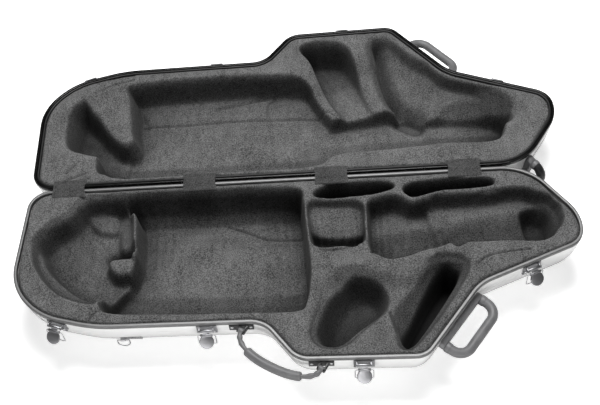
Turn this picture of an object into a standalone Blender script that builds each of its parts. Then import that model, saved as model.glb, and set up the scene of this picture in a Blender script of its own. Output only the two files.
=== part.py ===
"""Shaped hard case for a baritone saxophone, open with both halves flat on the floor.

Lengths are metres, +Z is up. X runs along the hinge line, the base lies toward -Y and the lid toward +Y.
In plan both halves are drawn by (x, span), where span is the distance from the hinge axis.
"""
import math

import bpy
import bmesh
from mathutils import Matrix, Vector

# Whole case
CASE_LENGTH = 1.155
HALF_WIDTH = 0.443
HALF_DEPTH = 0.125
HINGE_Y = 0.190
SPINE_STANDOFF = 0.005
PIECE_GAP = 0.0003
HALF = 0.5
BASE = -1
LID = 1

# Outline corners: share of the length, share of the width
CORNER_SHARES = [
    (-0.474, 0.000),
    (-0.481, 0.542),
    (-0.422, 0.709),
    (-0.325, 0.779),
    (-0.039, 0.791),
    (0.016, 0.985),
    (0.226, 1.000),
    (0.330, 0.650),
    (0.517, 0.449),
    (0.522, 0.300),
    (0.445, 0.000),
]
# Corner roundings at the rim and at the floor, as shares of the width
RIM_RADIUS_SHARES = (0.10, 0.29, 0.34, 0.67, 0.13, 0.11, 0.09, 0.22, 0.11, 0.22, 0.25)
FLOOR_RADIUS_SHARES = (0.07, 0.11, 0.14, 0.45, 0.27, 0.07, 0.07, 0.34, 0.07, 0.11, 0.18)
# How far each wall runs in from rim to floor, for the edge that starts at the corner
RUN_IN_SHARES = (0.20, 0.20, 0.20, 0.20, 0.20, 0.20, 0.20, 0.16, 0.19, 0.13, 0.13)
CORNER_STEPS = (7, 4, 3, 2, 5, 5, 5, 3, 6, 3, 5)

# Shells
SHELL_THICKNESS = 0.003
SHELL_TOP_DROP = 0.0033
SKIRT_DEPTH = 0.010
WALL_STEPS = 6

# Rim channels
RIM_OUTER = 0.0020
RIM_INNER = 0.0045
RIM_DROP = 0.0003
RIM_CHAMFER = 0.0008
RIM_HEIGHT = 0.0088
RIM_WEB = 0.0030

# Sealing strip of the lid
SEAL_INNER = 0.0103
SEAL_TOP = 0.0006
SEAL_FOOT = 0.0070
SEAL_ROUND = 0.0010

# Linings
LINING_INSET = 0.0035
LINING_TOP_DROP = 0.0025
LINING_LIP = 0.0010
BASE_LINING_EDGE = 0.0085
LID_LINING_EDGE = 0.0108
LINING_STEP_TOP = 0.0106
LINING_STEP_FOOT = 0.0125
CAVITY_LIP = 0.004
CAVITY_RISE = 0.010
CAVITY_STEPS = 2
# Wall of a compartment from lip to floor: share of the depth, share of the run-in
CAVITY_WALL_SHARES = ((0.40, 0.10), (0.80, 0.42), (1.00, 1.00))

# Compartments: each outline as shares of length and width, then their floors and run-ins
BOW_SHARES = [
    (-0.414, 0.157), (-0.375, 0.067), (-0.299, 0.043), (-0.283, 0.110), (-0.276, 0.257), (-0.279, 0.390),
    (-0.306, 0.510), (-0.318, 0.610), (-0.340, 0.672), (-0.392, 0.604), (-0.434, 0.468), (-0.451, 0.315),
    (-0.444, 0.221),
]
BOW_WELL_SHARES = [
    (-0.404, 0.150), (-0.370, 0.090), (-0.306, 0.070), (-0.292, 0.120), (-0.290, 0.235), (-0.334, 0.290),
    (-0.334, 0.390), (-0.312, 0.480), (-0.348, 0.530), (-0.392, 0.500), (-0.424, 0.400), (-0.433, 0.300),
    (-0.426, 0.213),
]
BODY_SHARES = [
    (-0.261, 0.055), (-0.120, 0.047), (0.009, 0.052), (0.022, 0.125), (0.029, 0.322), (0.034, 0.600),
    (0.020, 0.715), (-0.060, 0.738), (-0.170, 0.736), (-0.270, 0.716), (-0.298, 0.675), (-0.290, 0.560),
    (-0.262, 0.430), (-0.257, 0.250),
]
FRONT_SLOT_SHARES = [
    (0.050, 0.078), (0.080, 0.052), (0.182, 0.049), (0.200, 0.070), (0.170, 0.104), (0.125, 0.120),
    (0.080, 0.098), (0.055, 0.101),
]
TIP_SLOT_SHARES = [
    (0.218, 0.080), (0.240, 0.058), (0.274, 0.050), (0.364, 0.056), (0.380, 0.086), (0.335, 0.114),
    (0.284, 0.116), (0.238, 0.136),
]
POCKET_SHELF_SHARES = [
    (0.048, 0.155), (0.080, 0.140), (0.128, 0.166), (0.137, 0.210), (0.137, 0.255), (0.095, 0.265),
    (0.050, 0.265),
]
POCKET_SHARES = [
    (0.050, 0.272), (0.095, 0.262), (0.138, 0.272), (0.137, 0.340), (0.130, 0.415), (0.091, 0.440),
    (0.058, 0.420), (0.050, 0.340),
]
PEAR_SHARES = [
    (0.152, 0.330), (0.150, 0.230), (0.156, 0.165), (0.188, 0.136), (0.212, 0.166), (0.232, 0.205), (0.256, 0.225),
    (0.262, 0.290), (0.252, 0.370), (0.220, 0.402), (0.186, 0.420), (0.162, 0.405),
]
THROAT_SHARES = [
    (0.254, 0.215), (0.278, 0.162), (0.322, 0.174), (0.376, 0.172), (0.430, 0.152), (0.466, 0.190), (0.474, 0.290),
    (0.458, 0.380), (0.400, 0.400), (0.340, 0.406), (0.276, 0.396), (0.250, 0.320),
]
THROAT_WELL_SHARES = [
    (0.420, 0.235), (0.438, 0.190), (0.460, 0.205), (0.466, 0.280), (0.450, 0.330), (0.426, 0.310),
]
FOOT_SHARES = [
    (0.050, 0.530), (0.117, 0.500), (0.190, 0.480), (0.260, 0.480), (0.300, 0.500), (0.290, 0.600), (0.250, 0.735),
    (0.212, 0.880), (0.180, 0.930), (0.110, 0.925), (0.055, 0.905), (0.038, 0.830), (0.040, 0.682),
]
GROOVE_SHARES = [
    (0.128, 0.570), (0.090, 0.655), (0.062, 0.770), (0.056, 0.850), (0.080, 0.880), (0.124, 0.780), (0.188, 0.632),
    (0.174, 0.572),
]
VALLEY_SHARES = [
    (0.288, 0.530), (0.240, 0.620), (0.194, 0.800), (0.192, 0.895), (0.206, 0.910), (0.248, 0.790), (0.292, 0.640),
    (0.314, 0.555), (0.308, 0.525),
]
SLANT_SLOT_SHARES = [
    (0.290, 0.548), (0.248, 0.672), (0.203, 0.855), (0.202, 0.898), (0.214, 0.898), (0.254, 0.780), (0.296, 0.640),
    (0.306, 0.562),
]
LID_MAIN_SHARES = [
    (-0.312, 0.060), (-0.130, 0.056), (0.035, 0.066), (0.085, 0.125), (0.120, 0.250), (0.110, 0.380),
    (0.090, 0.480), (0.064, 0.590), (0.035, 0.680), (-0.087, 0.700), (-0.197, 0.697), (-0.290, 0.665),
    (-0.302, 0.600), (-0.298, 0.400), (-0.322, 0.320), (-0.330, 0.200),
]
LID_LEFT_SHARES = [
    (-0.362, 0.580), (-0.400, 0.530), (-0.420, 0.440), (-0.418, 0.320), (-0.395, 0.240), (-0.350, 0.180),
    (-0.300, 0.170), (-0.290, 0.280), (-0.325, 0.340), (-0.350, 0.420),
]
LID_CHANNEL_SHARES = [
    (0.060, 0.150), (0.156, 0.147), (0.286, 0.165), (0.398, 0.197), (0.448, 0.302), (0.444, 0.380), (0.400, 0.420),
    (0.290, 0.440), (0.173, 0.448), (0.080, 0.440),
]
LID_LAND_SHARES = [
    (0.082, 0.580), (0.110, 0.720), (0.200, 0.720), (0.240, 0.580), (0.290, 0.440), (0.250, 0.330), (0.110, 0.330),
    (0.080, 0.440),
]
LID_EAR_SHARES = [
    (0.040, 0.878), (0.064, 0.920), (0.108, 0.914), (0.140, 0.850), (0.172, 0.690), (0.198, 0.520), (0.190, 0.446),
    (0.160, 0.444), (0.120, 0.524), (0.079, 0.690),
]
LID_FUNNEL_SHARES = [
    (0.190, 0.925), (0.212, 0.935), (0.239, 0.866), (0.298, 0.700), (0.388, 0.555), (0.448, 0.440), (0.436, 0.340),
    (0.332, 0.310), (0.266, 0.404), (0.218, 0.584), (0.196, 0.740),
]
DEEP_FLOOR = 0.100
EAR_FLOOR = 0.070
WELL_FLOOR = 0.064
BOW_WELL_FLOOR = 0.060
MIDDLE_FLOOR = 0.048
BOW_FLOOR = 0.030
SHALLOW_FLOOR = 0.026
FOOT_STEP = 0.024
DEEP_RUN_IN = 0.018
SLOPE_RUN_IN = 0.030
MIDDLE_RUN_IN = 0.012
SHALLOW_RUN_IN = 0.007
SLOT_RUN_IN = 0.004

# Hinges
HINGE_COUNT = 4
HINGE_FIRST_SHARE = -0.4035
HINGE_PITCH_SHARE = 0.245
LEAF_WIDTH = 0.057
LEAF_THICKNESS = 0.0012
LEAF_START = 0.0028
LEAF_END = 0.0115
LEAF_DEPTH = 0.0095
KNUCKLE_RADIUS = 0.0025
KNUCKLE_BORE = 0.0013
MIDDLE_KNUCKLE = 0.028
KNUCKLE_TAB_START = 0.0018
HINGE_PIN_RADIUS = 0.0010
HINGE_PIN_HEAD_RADIUS = 0.0020
HINGE_PIN_HEAD = 0.0010
NOTCH_FLOOR = 0.0018
NOTCH_START = 0.0020
NOTCH_END = 0.0105
NOTCH_RISE = 0.002
SEAL_NOTCH_END = 0.0118
SEAL_NOTCH_DEPTH = 0.012
COVER_WIDTH = 0.068
COVER_REACH = 0.024
COVER_CREST = 0.0032
COVER_THICKNESS = 0.0018
# Underside of the plush tab from its outer edge to the barrel: share of the reach, share of the crest
COVER_UNDER_SHARES = ((1.00, -0.68), (0.80, -0.68), (0.64, 0.00), (0.46, 0.10), (0.13, 1.00))

# Draw latches: place on the rim as shares of length and width
LATCH_SHARES = [(-0.393, 0.727), (-0.136, 0.788), (0.1245, 0.993), (0.4225, 0.551)]
LATCH_PLATE_WIDTH = 0.040
LATCH_PLATE_TOP = 0.0103
LATCH_PLATE_FOOT = 0.034
LATCH_PLATE_FACE = 0.0028
SEAT_DEPTH = 0.006
BAR_SEAT_DEPTH = 0.012
LATCH_AXIS_OUT = 0.0100
LATCH_AXIS_DROP = 0.0150
EAR_INNER = 0.0123
EAR_OUTER = 0.0148
EAR_RADIUS = 0.0038
EAR_BORE = 0.0020
LEVER_BARREL_RADIUS = 0.0035
LEVER_BARREL_LENGTH = 0.024
LEVER_TRUNNION_RADIUS = 0.0015
LEVER_TRUNNION_LENGTH = 0.0310
LEVER_TILT = math.radians(40)
BAIL_AXIS_DROP = 0.0090
BAIL_BARREL_RADIUS = 0.0028
BAIL_BORE = 0.0014
LEVER_STEM_WIDTH = 0.012
LEVER_STEM_THICKNESS = 0.0030
PAD_DROP = 0.0220
PAD_RADIUS = 0.0145
PAD_THICKNESS = 0.0040
PAD_BEVEL = 0.0010
PAD_SIDES = 20
BAIL_WIRE = 0.0010
BAIL_HALF_WIDTH = 0.0175
BAIL_LENGTH = 0.0310
BAIL_CORNER = 0.0040
BAIL_CORNER_STEPS = 3
WIRE_SIDES = 8
CATCH_WIDTH = 0.028
CATCH_TOP = 0.0025
CATCH_SHELF = 0.0050
CATCH_LIP_FOOT = 0.0080
CATCH_LIP_FACE = 0.0075
CATCH_LIP_BACK = 0.0060
CATCH_FACE = 0.0033
CATCH_RIM_FACE = 0.0023
CATCH_FOOT = 0.028

# Carrying handle
HANDLE_FOOT_SHARES = [(-0.077, 0.790), (0.055, 0.990)]
HANDLE_FOOT_STANDOFFS = (0.0120, 0.0145)
HANDLE_AXIS_DROP = 0.0160
HANDLE_DROOP = math.radians(16)
HANDLE_HEIGHT = 0.0380
HANDLE_ARM_RADIUS = 0.0045
HANDLE_RIB_RADIUS = 0.0060
HANDLE_EYE_RADIUS = 0.0055
HANDLE_EYE_LENGTH = 0.0100
HANDLE_EYE_BORE = 0.0024
HANDLE_PIN_RADIUS = 0.0020
HANDLE_EAR_THICKNESS = 0.0026
HANDLE_EAR_HEIGHT = 0.011
HANDLE_EAR_REACH = 0.026
HANDLE_CORE_DEPTH = 0.0040
HANDLE_CORE_BREADTH = 0.0060
HANDLE_ARC_STEPS = 22
HANDLE_ARC_POWER = 0.91
HANDLE_ARM_STATIONS = 6
HANDLE_FIRST_RIB = 2
HANDLE_SECTION_SIDES = 10
GRIP_DEPTH = 0.0085
GRIP_BREADTH = 0.0095
GRIP_END_SCALE = 0.90
GRIP_BORE_GAP = 0.0004
HANDLE_WING_WIDTH = 0.048
HANDLE_WING_TOP = 0.0103
HANDLE_WING_FOOT = 0.027
HANDLE_WING_FACE = 0.0030

# Loop handles: place as shares of length and width, drop of the middle below the rim plane
SLANT_LOOP_SHARE = (0.288, 0.790)
SLANT_LOOP_DROP = 0.032
TIP_LOOP_SHARE = (0.450, 0.080)
TIP_LOOP_DROP = 0.054
LOOP_BAR_LENGTH = 0.146
LOOP_BAR_HEIGHT = 0.022
LOOP_BAR_FACE = 0.0120
LOOP_BAR_ROUND = 0.0100
TIP_BAR_LENGTH = 0.080
LOOP_HALF_SPAN = 0.0640
TIP_HALF_SPAN = 0.0310
TIP_REACH = 0.0420
TIP_TURN = 0.0240
LOOP_REACH = 0.0520
LOOP_TURN = 0.0260
LOOP_TURN_STEPS = 5
LOOP_RADIUS = 0.0080
LOOP_SIDES = 12

# Strap brackets and their rings
BASE_STRAP_SHARE = (-0.264, 0.785)
BASE_STRAP_DROP = 0.065
LID_STRAP_SHARE = (-0.481, 0.336)
LID_STRAP_DROP = 0.030
STRAP_PLATE_START = 0.012
STRAP_PLATE_END = 0.031
STRAP_PLATE_HEIGHT = 0.014
STRAP_PLATE_FACE = 0.0020
STRAP_BARREL_RADIUS = 0.0030
STRAP_BARREL_BORE = 0.0018
STRAP_BARREL_LENGTH = 0.010
STRAP_AXIS_OUT = 0.0045
STRAP_AXIS_SIDE = 0.0260
STRAP_AXIS_RISE = 0.0020
STRAP_WIRE = 0.0014
STRAP_RING_RADIUS = 0.0120
STRAP_RING_DROP = 0.0100
STRAP_RING_STEPS = 10
ROD_SIDES = 12
MANY_SIDES = 16
SHARP_ANGLE = math.radians(38)


def clear_scene():
    """Remove whatever the file starts with."""
    for item in list(bpy.data.objects):
        bpy.data.objects.remove(item, do_unlink=True)


def make_collection(name):
    """Make a collection and link it to the scene."""
    collection = bpy.data.collections.new(name)
    bpy.context.scene.collection.children.link(collection)
    return collection


def make_material(name, colour, roughness, metallic=0.0):
    """Make a plain material."""
    material = bpy.data.materials.new(name)
    material.use_nodes = True
    shader = material.node_tree.nodes["Principled BSDF"]
    shader.inputs["Base Color"].default_value = (*colour, 1.0)
    shader.inputs["Roughness"].default_value = roughness
    shader.inputs["Metallic"].default_value = metallic
    material.diffuse_color = (*colour, 1.0)
    return material


def plan_point(share):
    """Turn shares of the length and width into (x, span)."""
    return Vector((share[0] * CASE_LENGTH, SPINE_STANDOFF + share[1] * HALF_WIDTH))


def world_point(point, drop, side):
    """Put a plan point of one half into the world, a drop below the rim plane."""
    return Vector((point[0], HINGE_Y + side * point[1], HALF_DEPTH - drop))


def inset_corners(corners, insets):
    """Move each edge of a polygon inward by its own inset and return the new corners."""
    count = len(corners)
    lines = []
    for index in range(count):
        start = corners[index]
        along = (corners[(index + 1) % count] - start).normalized()
        inward = Vector((along[1], -along[0]))
        lines.append((start + inward * insets[index], along))
    moved = []
    for index in range(count):
        first_point, first_way = lines[index - 1]
        next_point, next_way = lines[index]
        across = first_way[0] * next_way[1] - first_way[1] * next_way[0]
        offset = next_point - first_point
        reach = (offset[0] * next_way[1] - offset[1] * next_way[0]) / across
        moved.append(first_point + first_way * reach)
    return moved


def rounded(corners, radii):
    """Round the corners of a polygon, each with its fixed number of steps."""
    count = len(corners)
    points = []
    for index in range(count):
        corner = corners[index]
        back = (corners[index - 1] - corner).normalized()
        ahead = (corners[(index + 1) % count] - corner).normalized()
        half_angle = back.angle(ahead) * HALF
        reach = radii[index] / math.tan(half_angle)
        centre = corner + (back + ahead).normalized() * (radii[index] / math.sin(half_angle))
        start = corner + back * reach - centre
        turn = start.angle_signed(corner + ahead * reach - centre)
        for step in range(CORNER_STEPS[index] + 1):
            angle = -turn * step / CORNER_STEPS[index]
            swung = Vector((
                start[0] * math.cos(angle) - start[1] * math.sin(angle),
                start[0] * math.sin(angle) + start[1] * math.cos(angle),
            ))
            points.append(centre + swung)
    return points


def bends_inward(corners, index):
    """Tell whether the outline turns toward the inside of the case at a corner."""
    along = corners[index] - corners[index - 1]
    ahead = corners[(index + 1) % len(corners)] - corners[index]
    return along[0] * ahead[1] - along[1] * ahead[0] > 0


def rim_outline(inset):
    """Outline of a half at the rim, moved inward by an inset."""
    corners = [plan_point(share) for share in CORNER_SHARES]
    radii = []
    for index, share in enumerate(RIM_RADIUS_SHARES):
        change = inset if bends_inward(corners, index) else -inset
        radii.append(share * HALF_WIDTH + change)
    return rounded(inset_corners(corners, [inset] * len(corners)), radii)


def floor_outline():
    """Outline of the flat floor of a half."""
    corners = [plan_point(share) for share in CORNER_SHARES]
    insets = [share * HALF_WIDTH for share in RUN_IN_SHARES]
    radii = [share * HALF_WIDTH for share in FLOOR_RADIUS_SHARES]
    return rounded(inset_corners(corners, insets), radii)


def wall_row(inset, angle):
    """One level of the bulged wall: its plan outline and its drop below the rim plane."""
    share = 1 - math.cos(angle)
    rim = rim_outline(inset)
    floor = floor_outline()
    points = [outer.lerp(inner, share) for outer, inner in zip(rim, floor)]
    drop = SKIRT_DEPTH + (HALF_DEPTH - SKIRT_DEPTH - inset) * math.sin(angle)
    return points, drop


def wall_rows(inset, side):
    """All levels of the bulged wall below the skirt, in the world."""
    rows = []
    for step in range(WALL_STEPS):
        points, drop = wall_row(inset, math.pi * HALF * (step + 1) / WALL_STEPS)
        rows.append([world_point(point, drop, side) for point in points])
    return rows


def level_row(inset, drop, side):
    """An upright part of the wall at one drop, in the world."""
    return [world_point(point, drop, side) for point in rim_outline(inset)]


def loft(name, rows, cap_first=False, cap_last=False, join_ends=False):
    """Skin a list of closed rows of points and turn every face outward."""
    count = len(rows[0])
    vertices = [point for row in rows for point in row]
    pairs = [(row, row + 1) for row in range(len(rows) - 1)]
    if join_ends:
        pairs.append((len(rows) - 1, 0))
    faces = []
    for low, high in pairs:
        for index in range(count):
            after = (index + 1) % count
            faces.append((low * count + index, low * count + after, high * count + after, high * count + index))
    if cap_first:
        faces.append(tuple(range(count)))
    if cap_last:
        last = (len(rows) - 1) * count
        faces.append(tuple(range(last, last + count)))
    mesh = bpy.data.meshes.new(name)
    mesh.from_pydata(vertices, [], faces)
    shape = bmesh.new()
    shape.from_mesh(mesh)
    bmesh.ops.recalc_face_normals(shape, faces=shape.faces)
    shape.to_mesh(mesh)
    shape.free()
    return mesh


def shade_round(mesh):
    """Shade a mesh smooth but keep its sharp edges."""
    shape = bmesh.new()
    shape.from_mesh(mesh)
    for face in shape.faces:
        face.smooth = True
    for edge in shape.edges:
        edge.smooth = edge.is_manifold and edge.calc_face_angle() < SHARP_ANGLE
    shape.to_mesh(mesh)
    shape.free()


def add_part(name, mesh, collection, material, matrix=None):
    """Link a finished mesh as a named part."""
    mesh.name = name
    mesh.materials.clear()
    mesh.materials.append(material)
    shade_round(mesh)
    part = bpy.data.objects.new(name, mesh)
    if matrix is not None:
        part.matrix_world = matrix
    collection.objects.link(part)
    return part


def add_cutter(name, mesh, collection):
    """Link a mesh that only cuts other parts."""
    cutter = bpy.data.objects.new(name, mesh)
    cutter.display_type = "WIRE"
    cutter.hide_render = True
    collection.objects.link(cutter)
    return cutter


def add_cut(part, cutter):
    """Cut a part with a live boolean."""
    modifier = part.modifiers.new(cutter.name, "BOOLEAN")
    modifier.operation = "DIFFERENCE"
    modifier.solver = "EXACT"
    modifier.object = cutter


def fused(name, added, removed=()):
    """Join meshes into one body, take others away and return the finished mesh."""
    scene = bpy.context.scene
    helpers = []
    for mesh in (*added, *removed):
        helper = bpy.data.objects.new(mesh.name, mesh)
        scene.collection.objects.link(helper)
        helpers.append(helper)
    body = helpers[0]
    for index, helper in enumerate(helpers[1:], start=1):
        modifier = body.modifiers.new(helper.name, "BOOLEAN")
        modifier.operation = "UNION" if index < len(added) else "DIFFERENCE"
        modifier.solver = "EXACT"
        modifier.object = helper
    evaluated = body.evaluated_get(bpy.context.evaluated_depsgraph_get())
    mesh = bpy.data.meshes.new_from_object(evaluated)
    mesh.name = name
    for helper in helpers:
        bpy.data.objects.remove(helper, do_unlink=True)
    return mesh


def block(name, low, high, matrix=None):
    """A box between two corners."""
    shape = bmesh.new()
    bmesh.ops.create_cube(shape, size=1)
    for vertex in shape.verts:
        for axis in range(len(vertex.co)):
            vertex.co[axis] = high[axis] if vertex.co[axis] > 0 else low[axis]
    if matrix is not None:
        bmesh.ops.transform(shape, matrix=matrix, verts=shape.verts)
    bmesh.ops.recalc_face_normals(shape, faces=shape.faces)
    mesh = bpy.data.meshes.new(name)
    shape.to_mesh(mesh)
    shape.free()
    return mesh


def rod(name, radius, start, end, sides=ROD_SIDES, matrix=None):
    """A round bar between two points."""
    start = Vector(start)
    way = Vector(end) - start
    turn = way.to_track_quat("Z", "Y").to_matrix().to_4x4()
    rows = []
    for height in (0, way.length):
        row = []
        for side in range(sides):
            angle = math.tau * side / sides
            row.append(start + turn @ Vector((radius * math.cos(angle), radius * math.sin(angle), height)))
        rows.append(row)
    if matrix is not None:
        rows = [[matrix @ point for point in row] for row in rows]
    return loft(name, rows, cap_first=True, cap_last=True)


def extruded(name, profile, half_width, matrix=None):
    """Run a profile of (out, up) points along the local X axis."""
    rows = []
    for place in (-half_width, half_width):
        row = [Vector((place, point[0], point[1])) for point in profile]
        if matrix is not None:
            row = [matrix @ point for point in row]
        rows.append(row)
    return loft(name, rows, cap_first=True, cap_last=True)


def swept(name, path, sections, closed=False):
    """Run a section along a path that lies in a plane. Each section point is (across, off the plane)."""
    count = len(path)
    normal = Vector((0, 0, 0))
    for index in range(1, count - 1):
        normal += (path[index] - path[index - 1]).cross(path[index + 1] - path[index])
    normal.normalize()
    rows = []
    for index in range(count):
        before = path[index - 1] if index or closed else path[index]
        after = path[(index + 1) % count] if index < count - 1 or closed else path[index]
        along = (after - before).normalized()
        across = normal.cross(along)
        rows.append([path[index] + across * point[0] + normal * point[1] for point in sections[index]])
    return loft(name, rows, cap_first=not closed, cap_last=not closed, join_ends=closed)


def circle_section(radius, sides):
    """Points of a round section."""
    turns = [math.tau * (side + HALF) / sides for side in range(sides)]
    return [(radius * math.cos(turn), radius * math.sin(turn)) for turn in turns]


def oval_section(depth, breadth, sides):
    """Points of an oval section with two half sizes."""
    turns = [math.tau * (side + HALF) / sides for side in range(sides)]
    return [(depth * math.cos(turn), breadth * math.sin(turn)) for turn in turns]


def moved_mesh(mesh, matrix):
    """A copy of a mesh moved by a matrix."""
    copy = mesh.copy()
    copy.transform(matrix)
    return copy


def find_on_rim(share):
    """Nearest place on the rim outline to a plan point: index of the stretch and share along it."""
    target = plan_point(share)
    outline = rim_outline(0)
    best = None
    for index, start in enumerate(outline):
        way = outline[(index + 1) % len(outline)] - start
        along = max(0, min(1, (target - start).dot(way) / way.length_squared))
        distance = (start + way * along - target).length
        if best is None or distance < best[0]:
            best = (distance, index, along)
    return best[1], best[2]


def between(points, index, along):
    """Point on one stretch of a closed outline."""
    return points[index].lerp(points[(index + 1) % len(points)], along)


def outward_at(points, index, along):
    """Smooth outward direction of an outline in plan."""
    count = len(points)
    first = points[(index + 1) % count] - points[index - 1]
    second = points[(index + 2) % count] - points[index]
    way = first.normalized().lerp(second.normalized(), along).normalized()
    return Vector((-way[1], way[0]))


def rim_frame(share, side):
    """Frame on the rim plane at the outside of the shell: X along the rim, Y outward, Z up."""
    index, along = find_on_rim(share)
    outline = rim_outline(0)
    point = between(outline, index, along)
    outward = outward_at(outline, index, along)
    out = Vector((outward[0], side * outward[1], 0))
    up = Vector((0, 0, 1))
    return frame_matrix(world_point(point, 0, side), out, up)


def wall_frame(share, drop, side):
    """Frame on the bulged wall at a drop: X along the wall, Y straight off it, Z up the wall."""
    index, along = find_on_rim(share)
    angle = math.asin((drop - SKIRT_DEPTH) / (HALF_DEPTH - SKIRT_DEPTH))
    points, level = wall_row(0, angle)
    point = between(points, index, along)
    outward = outward_at(points, index, along)
    out = Vector((outward[0], side * outward[1], 0))
    run_in = (between(rim_outline(0), index, along) - between(floor_outline(), index, along)).length
    slope = math.atan2(run_in * math.sin(angle), (HALF_DEPTH - SKIRT_DEPTH) * math.cos(angle))
    up = Vector((0, 0, math.cos(slope))) + out * math.sin(slope)
    straight = out * math.cos(slope) - Vector((0, 0, math.sin(slope)))
    return frame_matrix(world_point(point, level, side), straight, up)


def frame_matrix(place, out, up):
    """Matrix of a frame from its place, its Y axis and its Z axis."""
    along = out.cross(up)
    turn = Matrix((along, out, up)).transposed().to_4x4()
    return Matrix.Translation(place) @ turn


def build_shell(name, side, collection, material):
    """Bulged shell of one half: an open bowl thickened inward."""
    rows = [level_row(0, SHELL_TOP_DROP, side), level_row(0, SKIRT_DEPTH, side)]
    mesh = loft(name, rows + wall_rows(0, side), cap_last=True)
    lowest = min(mesh.polygons, key=lambda face: face.center[2])
    if lowest.normal[2] > 0:
        mesh.flip_normals()
    shell = add_part(name, mesh, collection, material)
    thicken = shell.modifiers.new("wall", "SOLIDIFY")
    thicken.thickness = SHELL_THICKNESS
    thicken.offset = -1
    thicken.use_even_offset = True
    return shell


def build_clearance(side):
    """Closed body of a half with its outside grown by the piece gap, for seating the fittings."""
    rows = [level_row(-PIECE_GAP, -CAVITY_RISE, side), level_row(-PIECE_GAP, SKIRT_DEPTH, side)]
    return loft("wall_clearance", rows + wall_rows(-PIECE_GAP, side), cap_first=True, cap_last=True)


def rim_profile():
    """Section of a rim channel as (outward, drop)."""
    outer_leg = PIECE_GAP
    inner_leg = -SHELL_THICKNESS - PIECE_GAP
    return [
        (RIM_OUTER, RIM_DROP + RIM_CHAMFER),
        (RIM_OUTER - RIM_CHAMFER, RIM_DROP),
        (RIM_CHAMFER - RIM_INNER, RIM_DROP),
        (-RIM_INNER, RIM_DROP + RIM_CHAMFER),
        (-RIM_INNER, RIM_HEIGHT),
        (inner_leg, RIM_HEIGHT),
        (inner_leg, RIM_WEB),
        (outer_leg, RIM_WEB),
        (outer_leg, RIM_HEIGHT),
        (RIM_OUTER, RIM_HEIGHT),
    ]


def seal_profile():
    """Section of the sealing strip as (outward, drop)."""
    outer = -RIM_INNER - PIECE_GAP
    return [
        (outer, SEAL_TOP + SEAL_ROUND),
        (outer - SEAL_ROUND, SEAL_TOP),
        (SEAL_ROUND - SEAL_INNER, SEAL_TOP),
        (-SEAL_INNER, SEAL_TOP + SEAL_ROUND),
        (-SEAL_INNER, SEAL_FOOT),
        (outer, SEAL_FOOT),
    ]


def band_mesh(name, profile, side):
    """Run a section once around the rim."""
    rows = [level_row(-outward, drop, side) for outward, drop in profile]
    return loft(name, rows, join_ends=True)


def hinge_places():
    """X of every hinge."""
    return [(HINGE_FIRST_SHARE + HINGE_PITCH_SHARE * index) * CASE_LENGTH for index in range(HINGE_COUNT)]


def build_rim(name, side, collection, cutters, material):
    """Rim channel of one half with a notch for every hinge leaf."""
    rim = add_part(name, band_mesh(name, rim_profile(), side), collection, material)
    half = LEAF_WIDTH * HALF + PIECE_GAP
    for index, place in enumerate(hinge_places()):
        low, high = sorted((HINGE_Y + side * NOTCH_START, HINGE_Y + side * NOTCH_END))
        label = f"{name}_notch_{index + 1}"
        notch = block(label, (place - half, low, HALF_DEPTH - NOTCH_FLOOR), (place + half, high, HALF_DEPTH + NOTCH_RISE))
        add_cut(rim, add_cutter(label, notch, cutters))
    return rim


def build_seal(collection, cutters, material):
    """Sealing strip of the lid, eased behind every hinge leaf."""
    seal = add_part("lid_seal", band_mesh("lid_seal", seal_profile(), LID), collection, material)
    half = LEAF_WIDTH * HALF + PIECE_GAP
    for index, place in enumerate(hinge_places()):
        label = f"lid_seal_notch_{index + 1}"
        low = (place - half, HINGE_Y + NOTCH_START, HALF_DEPTH - SEAL_NOTCH_DEPTH)
        high = (place + half, HINGE_Y + SEAL_NOTCH_END, HALF_DEPTH + NOTCH_RISE)
        add_cut(seal, add_cutter(label, block(label, low, high), cutters))
    return seal


def smooth_loop(points):
    """Closed curve through the given points, with a few steps for each."""
    count = len(points)
    curve = []
    for index in range(count):
        one, two = points[index - 1], points[index]
        three, four = points[(index + 1) % count], points[(index + 2) % count]
        for step in range(CAVITY_STEPS):
            part = step / CAVITY_STEPS
            line = (three - one) * part
            bend = (one * 2 - two * 5 + three * 4 - four) * part ** 2
            twist = (two * 3 - one - three * 3 + four) * part ** 3
            curve.append((two * 2 + line + bend + twist) * HALF)
    return curve


def grown_loop(points, growth):
    """Move a closed curve outward by a growth, or inward where it is negative."""
    count = len(points)
    area = sum(points[index - 1].cross(points[index]) for index in range(count))
    sign = 1 if area > 0 else -1
    moved = []
    for index in range(count):
        way = (points[(index + 1) % count] - points[index - 1]).normalized()
        moved.append(points[index] + Vector((way[1], -way[0])) * growth * sign)
    return moved


def cavity_mesh(name, loop, side, top, floor, run_in):
    """Tapered body of a compartment with an eased lip and a dished floor."""
    levels = [(top - CAVITY_RISE, CAVITY_LIP), (top, CAVITY_LIP), (top + CAVITY_LIP, 0)]
    depth = floor - top - CAVITY_LIP
    for depth_share, run_share in CAVITY_WALL_SHARES:
        levels.append((top + CAVITY_LIP + depth * depth_share, -run_in * run_share))
    rows = []
    for drop, growth in levels:
        rows.append([world_point(point, drop, side) for point in grown_loop(loop, growth)])
    return loft(name, rows, cap_first=True, cap_last=True)


def build_lining(name, side, edge, cavities, collection, cutters, material):
    """Moulded lining of one half with its compartments cut in."""
    rows = [
        level_row(edge + LINING_LIP, LINING_TOP_DROP, side),
        level_row(edge, LINING_TOP_DROP + LINING_LIP, side),
        level_row(edge, LINING_STEP_TOP, side),
        level_row(LINING_INSET, LINING_STEP_FOOT, side),
    ]
    mesh = loft(name, rows + wall_rows(LINING_INSET, side), cap_first=True, cap_last=True)
    lining = add_part(name, mesh, collection, material)
    for label, loop, top, floor, run_in in cavities:
        cutter = add_cutter(f"{name}_{label}", cavity_mesh(label, loop, side, top, floor, run_in), cutters)
        add_cut(lining, cutter)
    return lining


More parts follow.
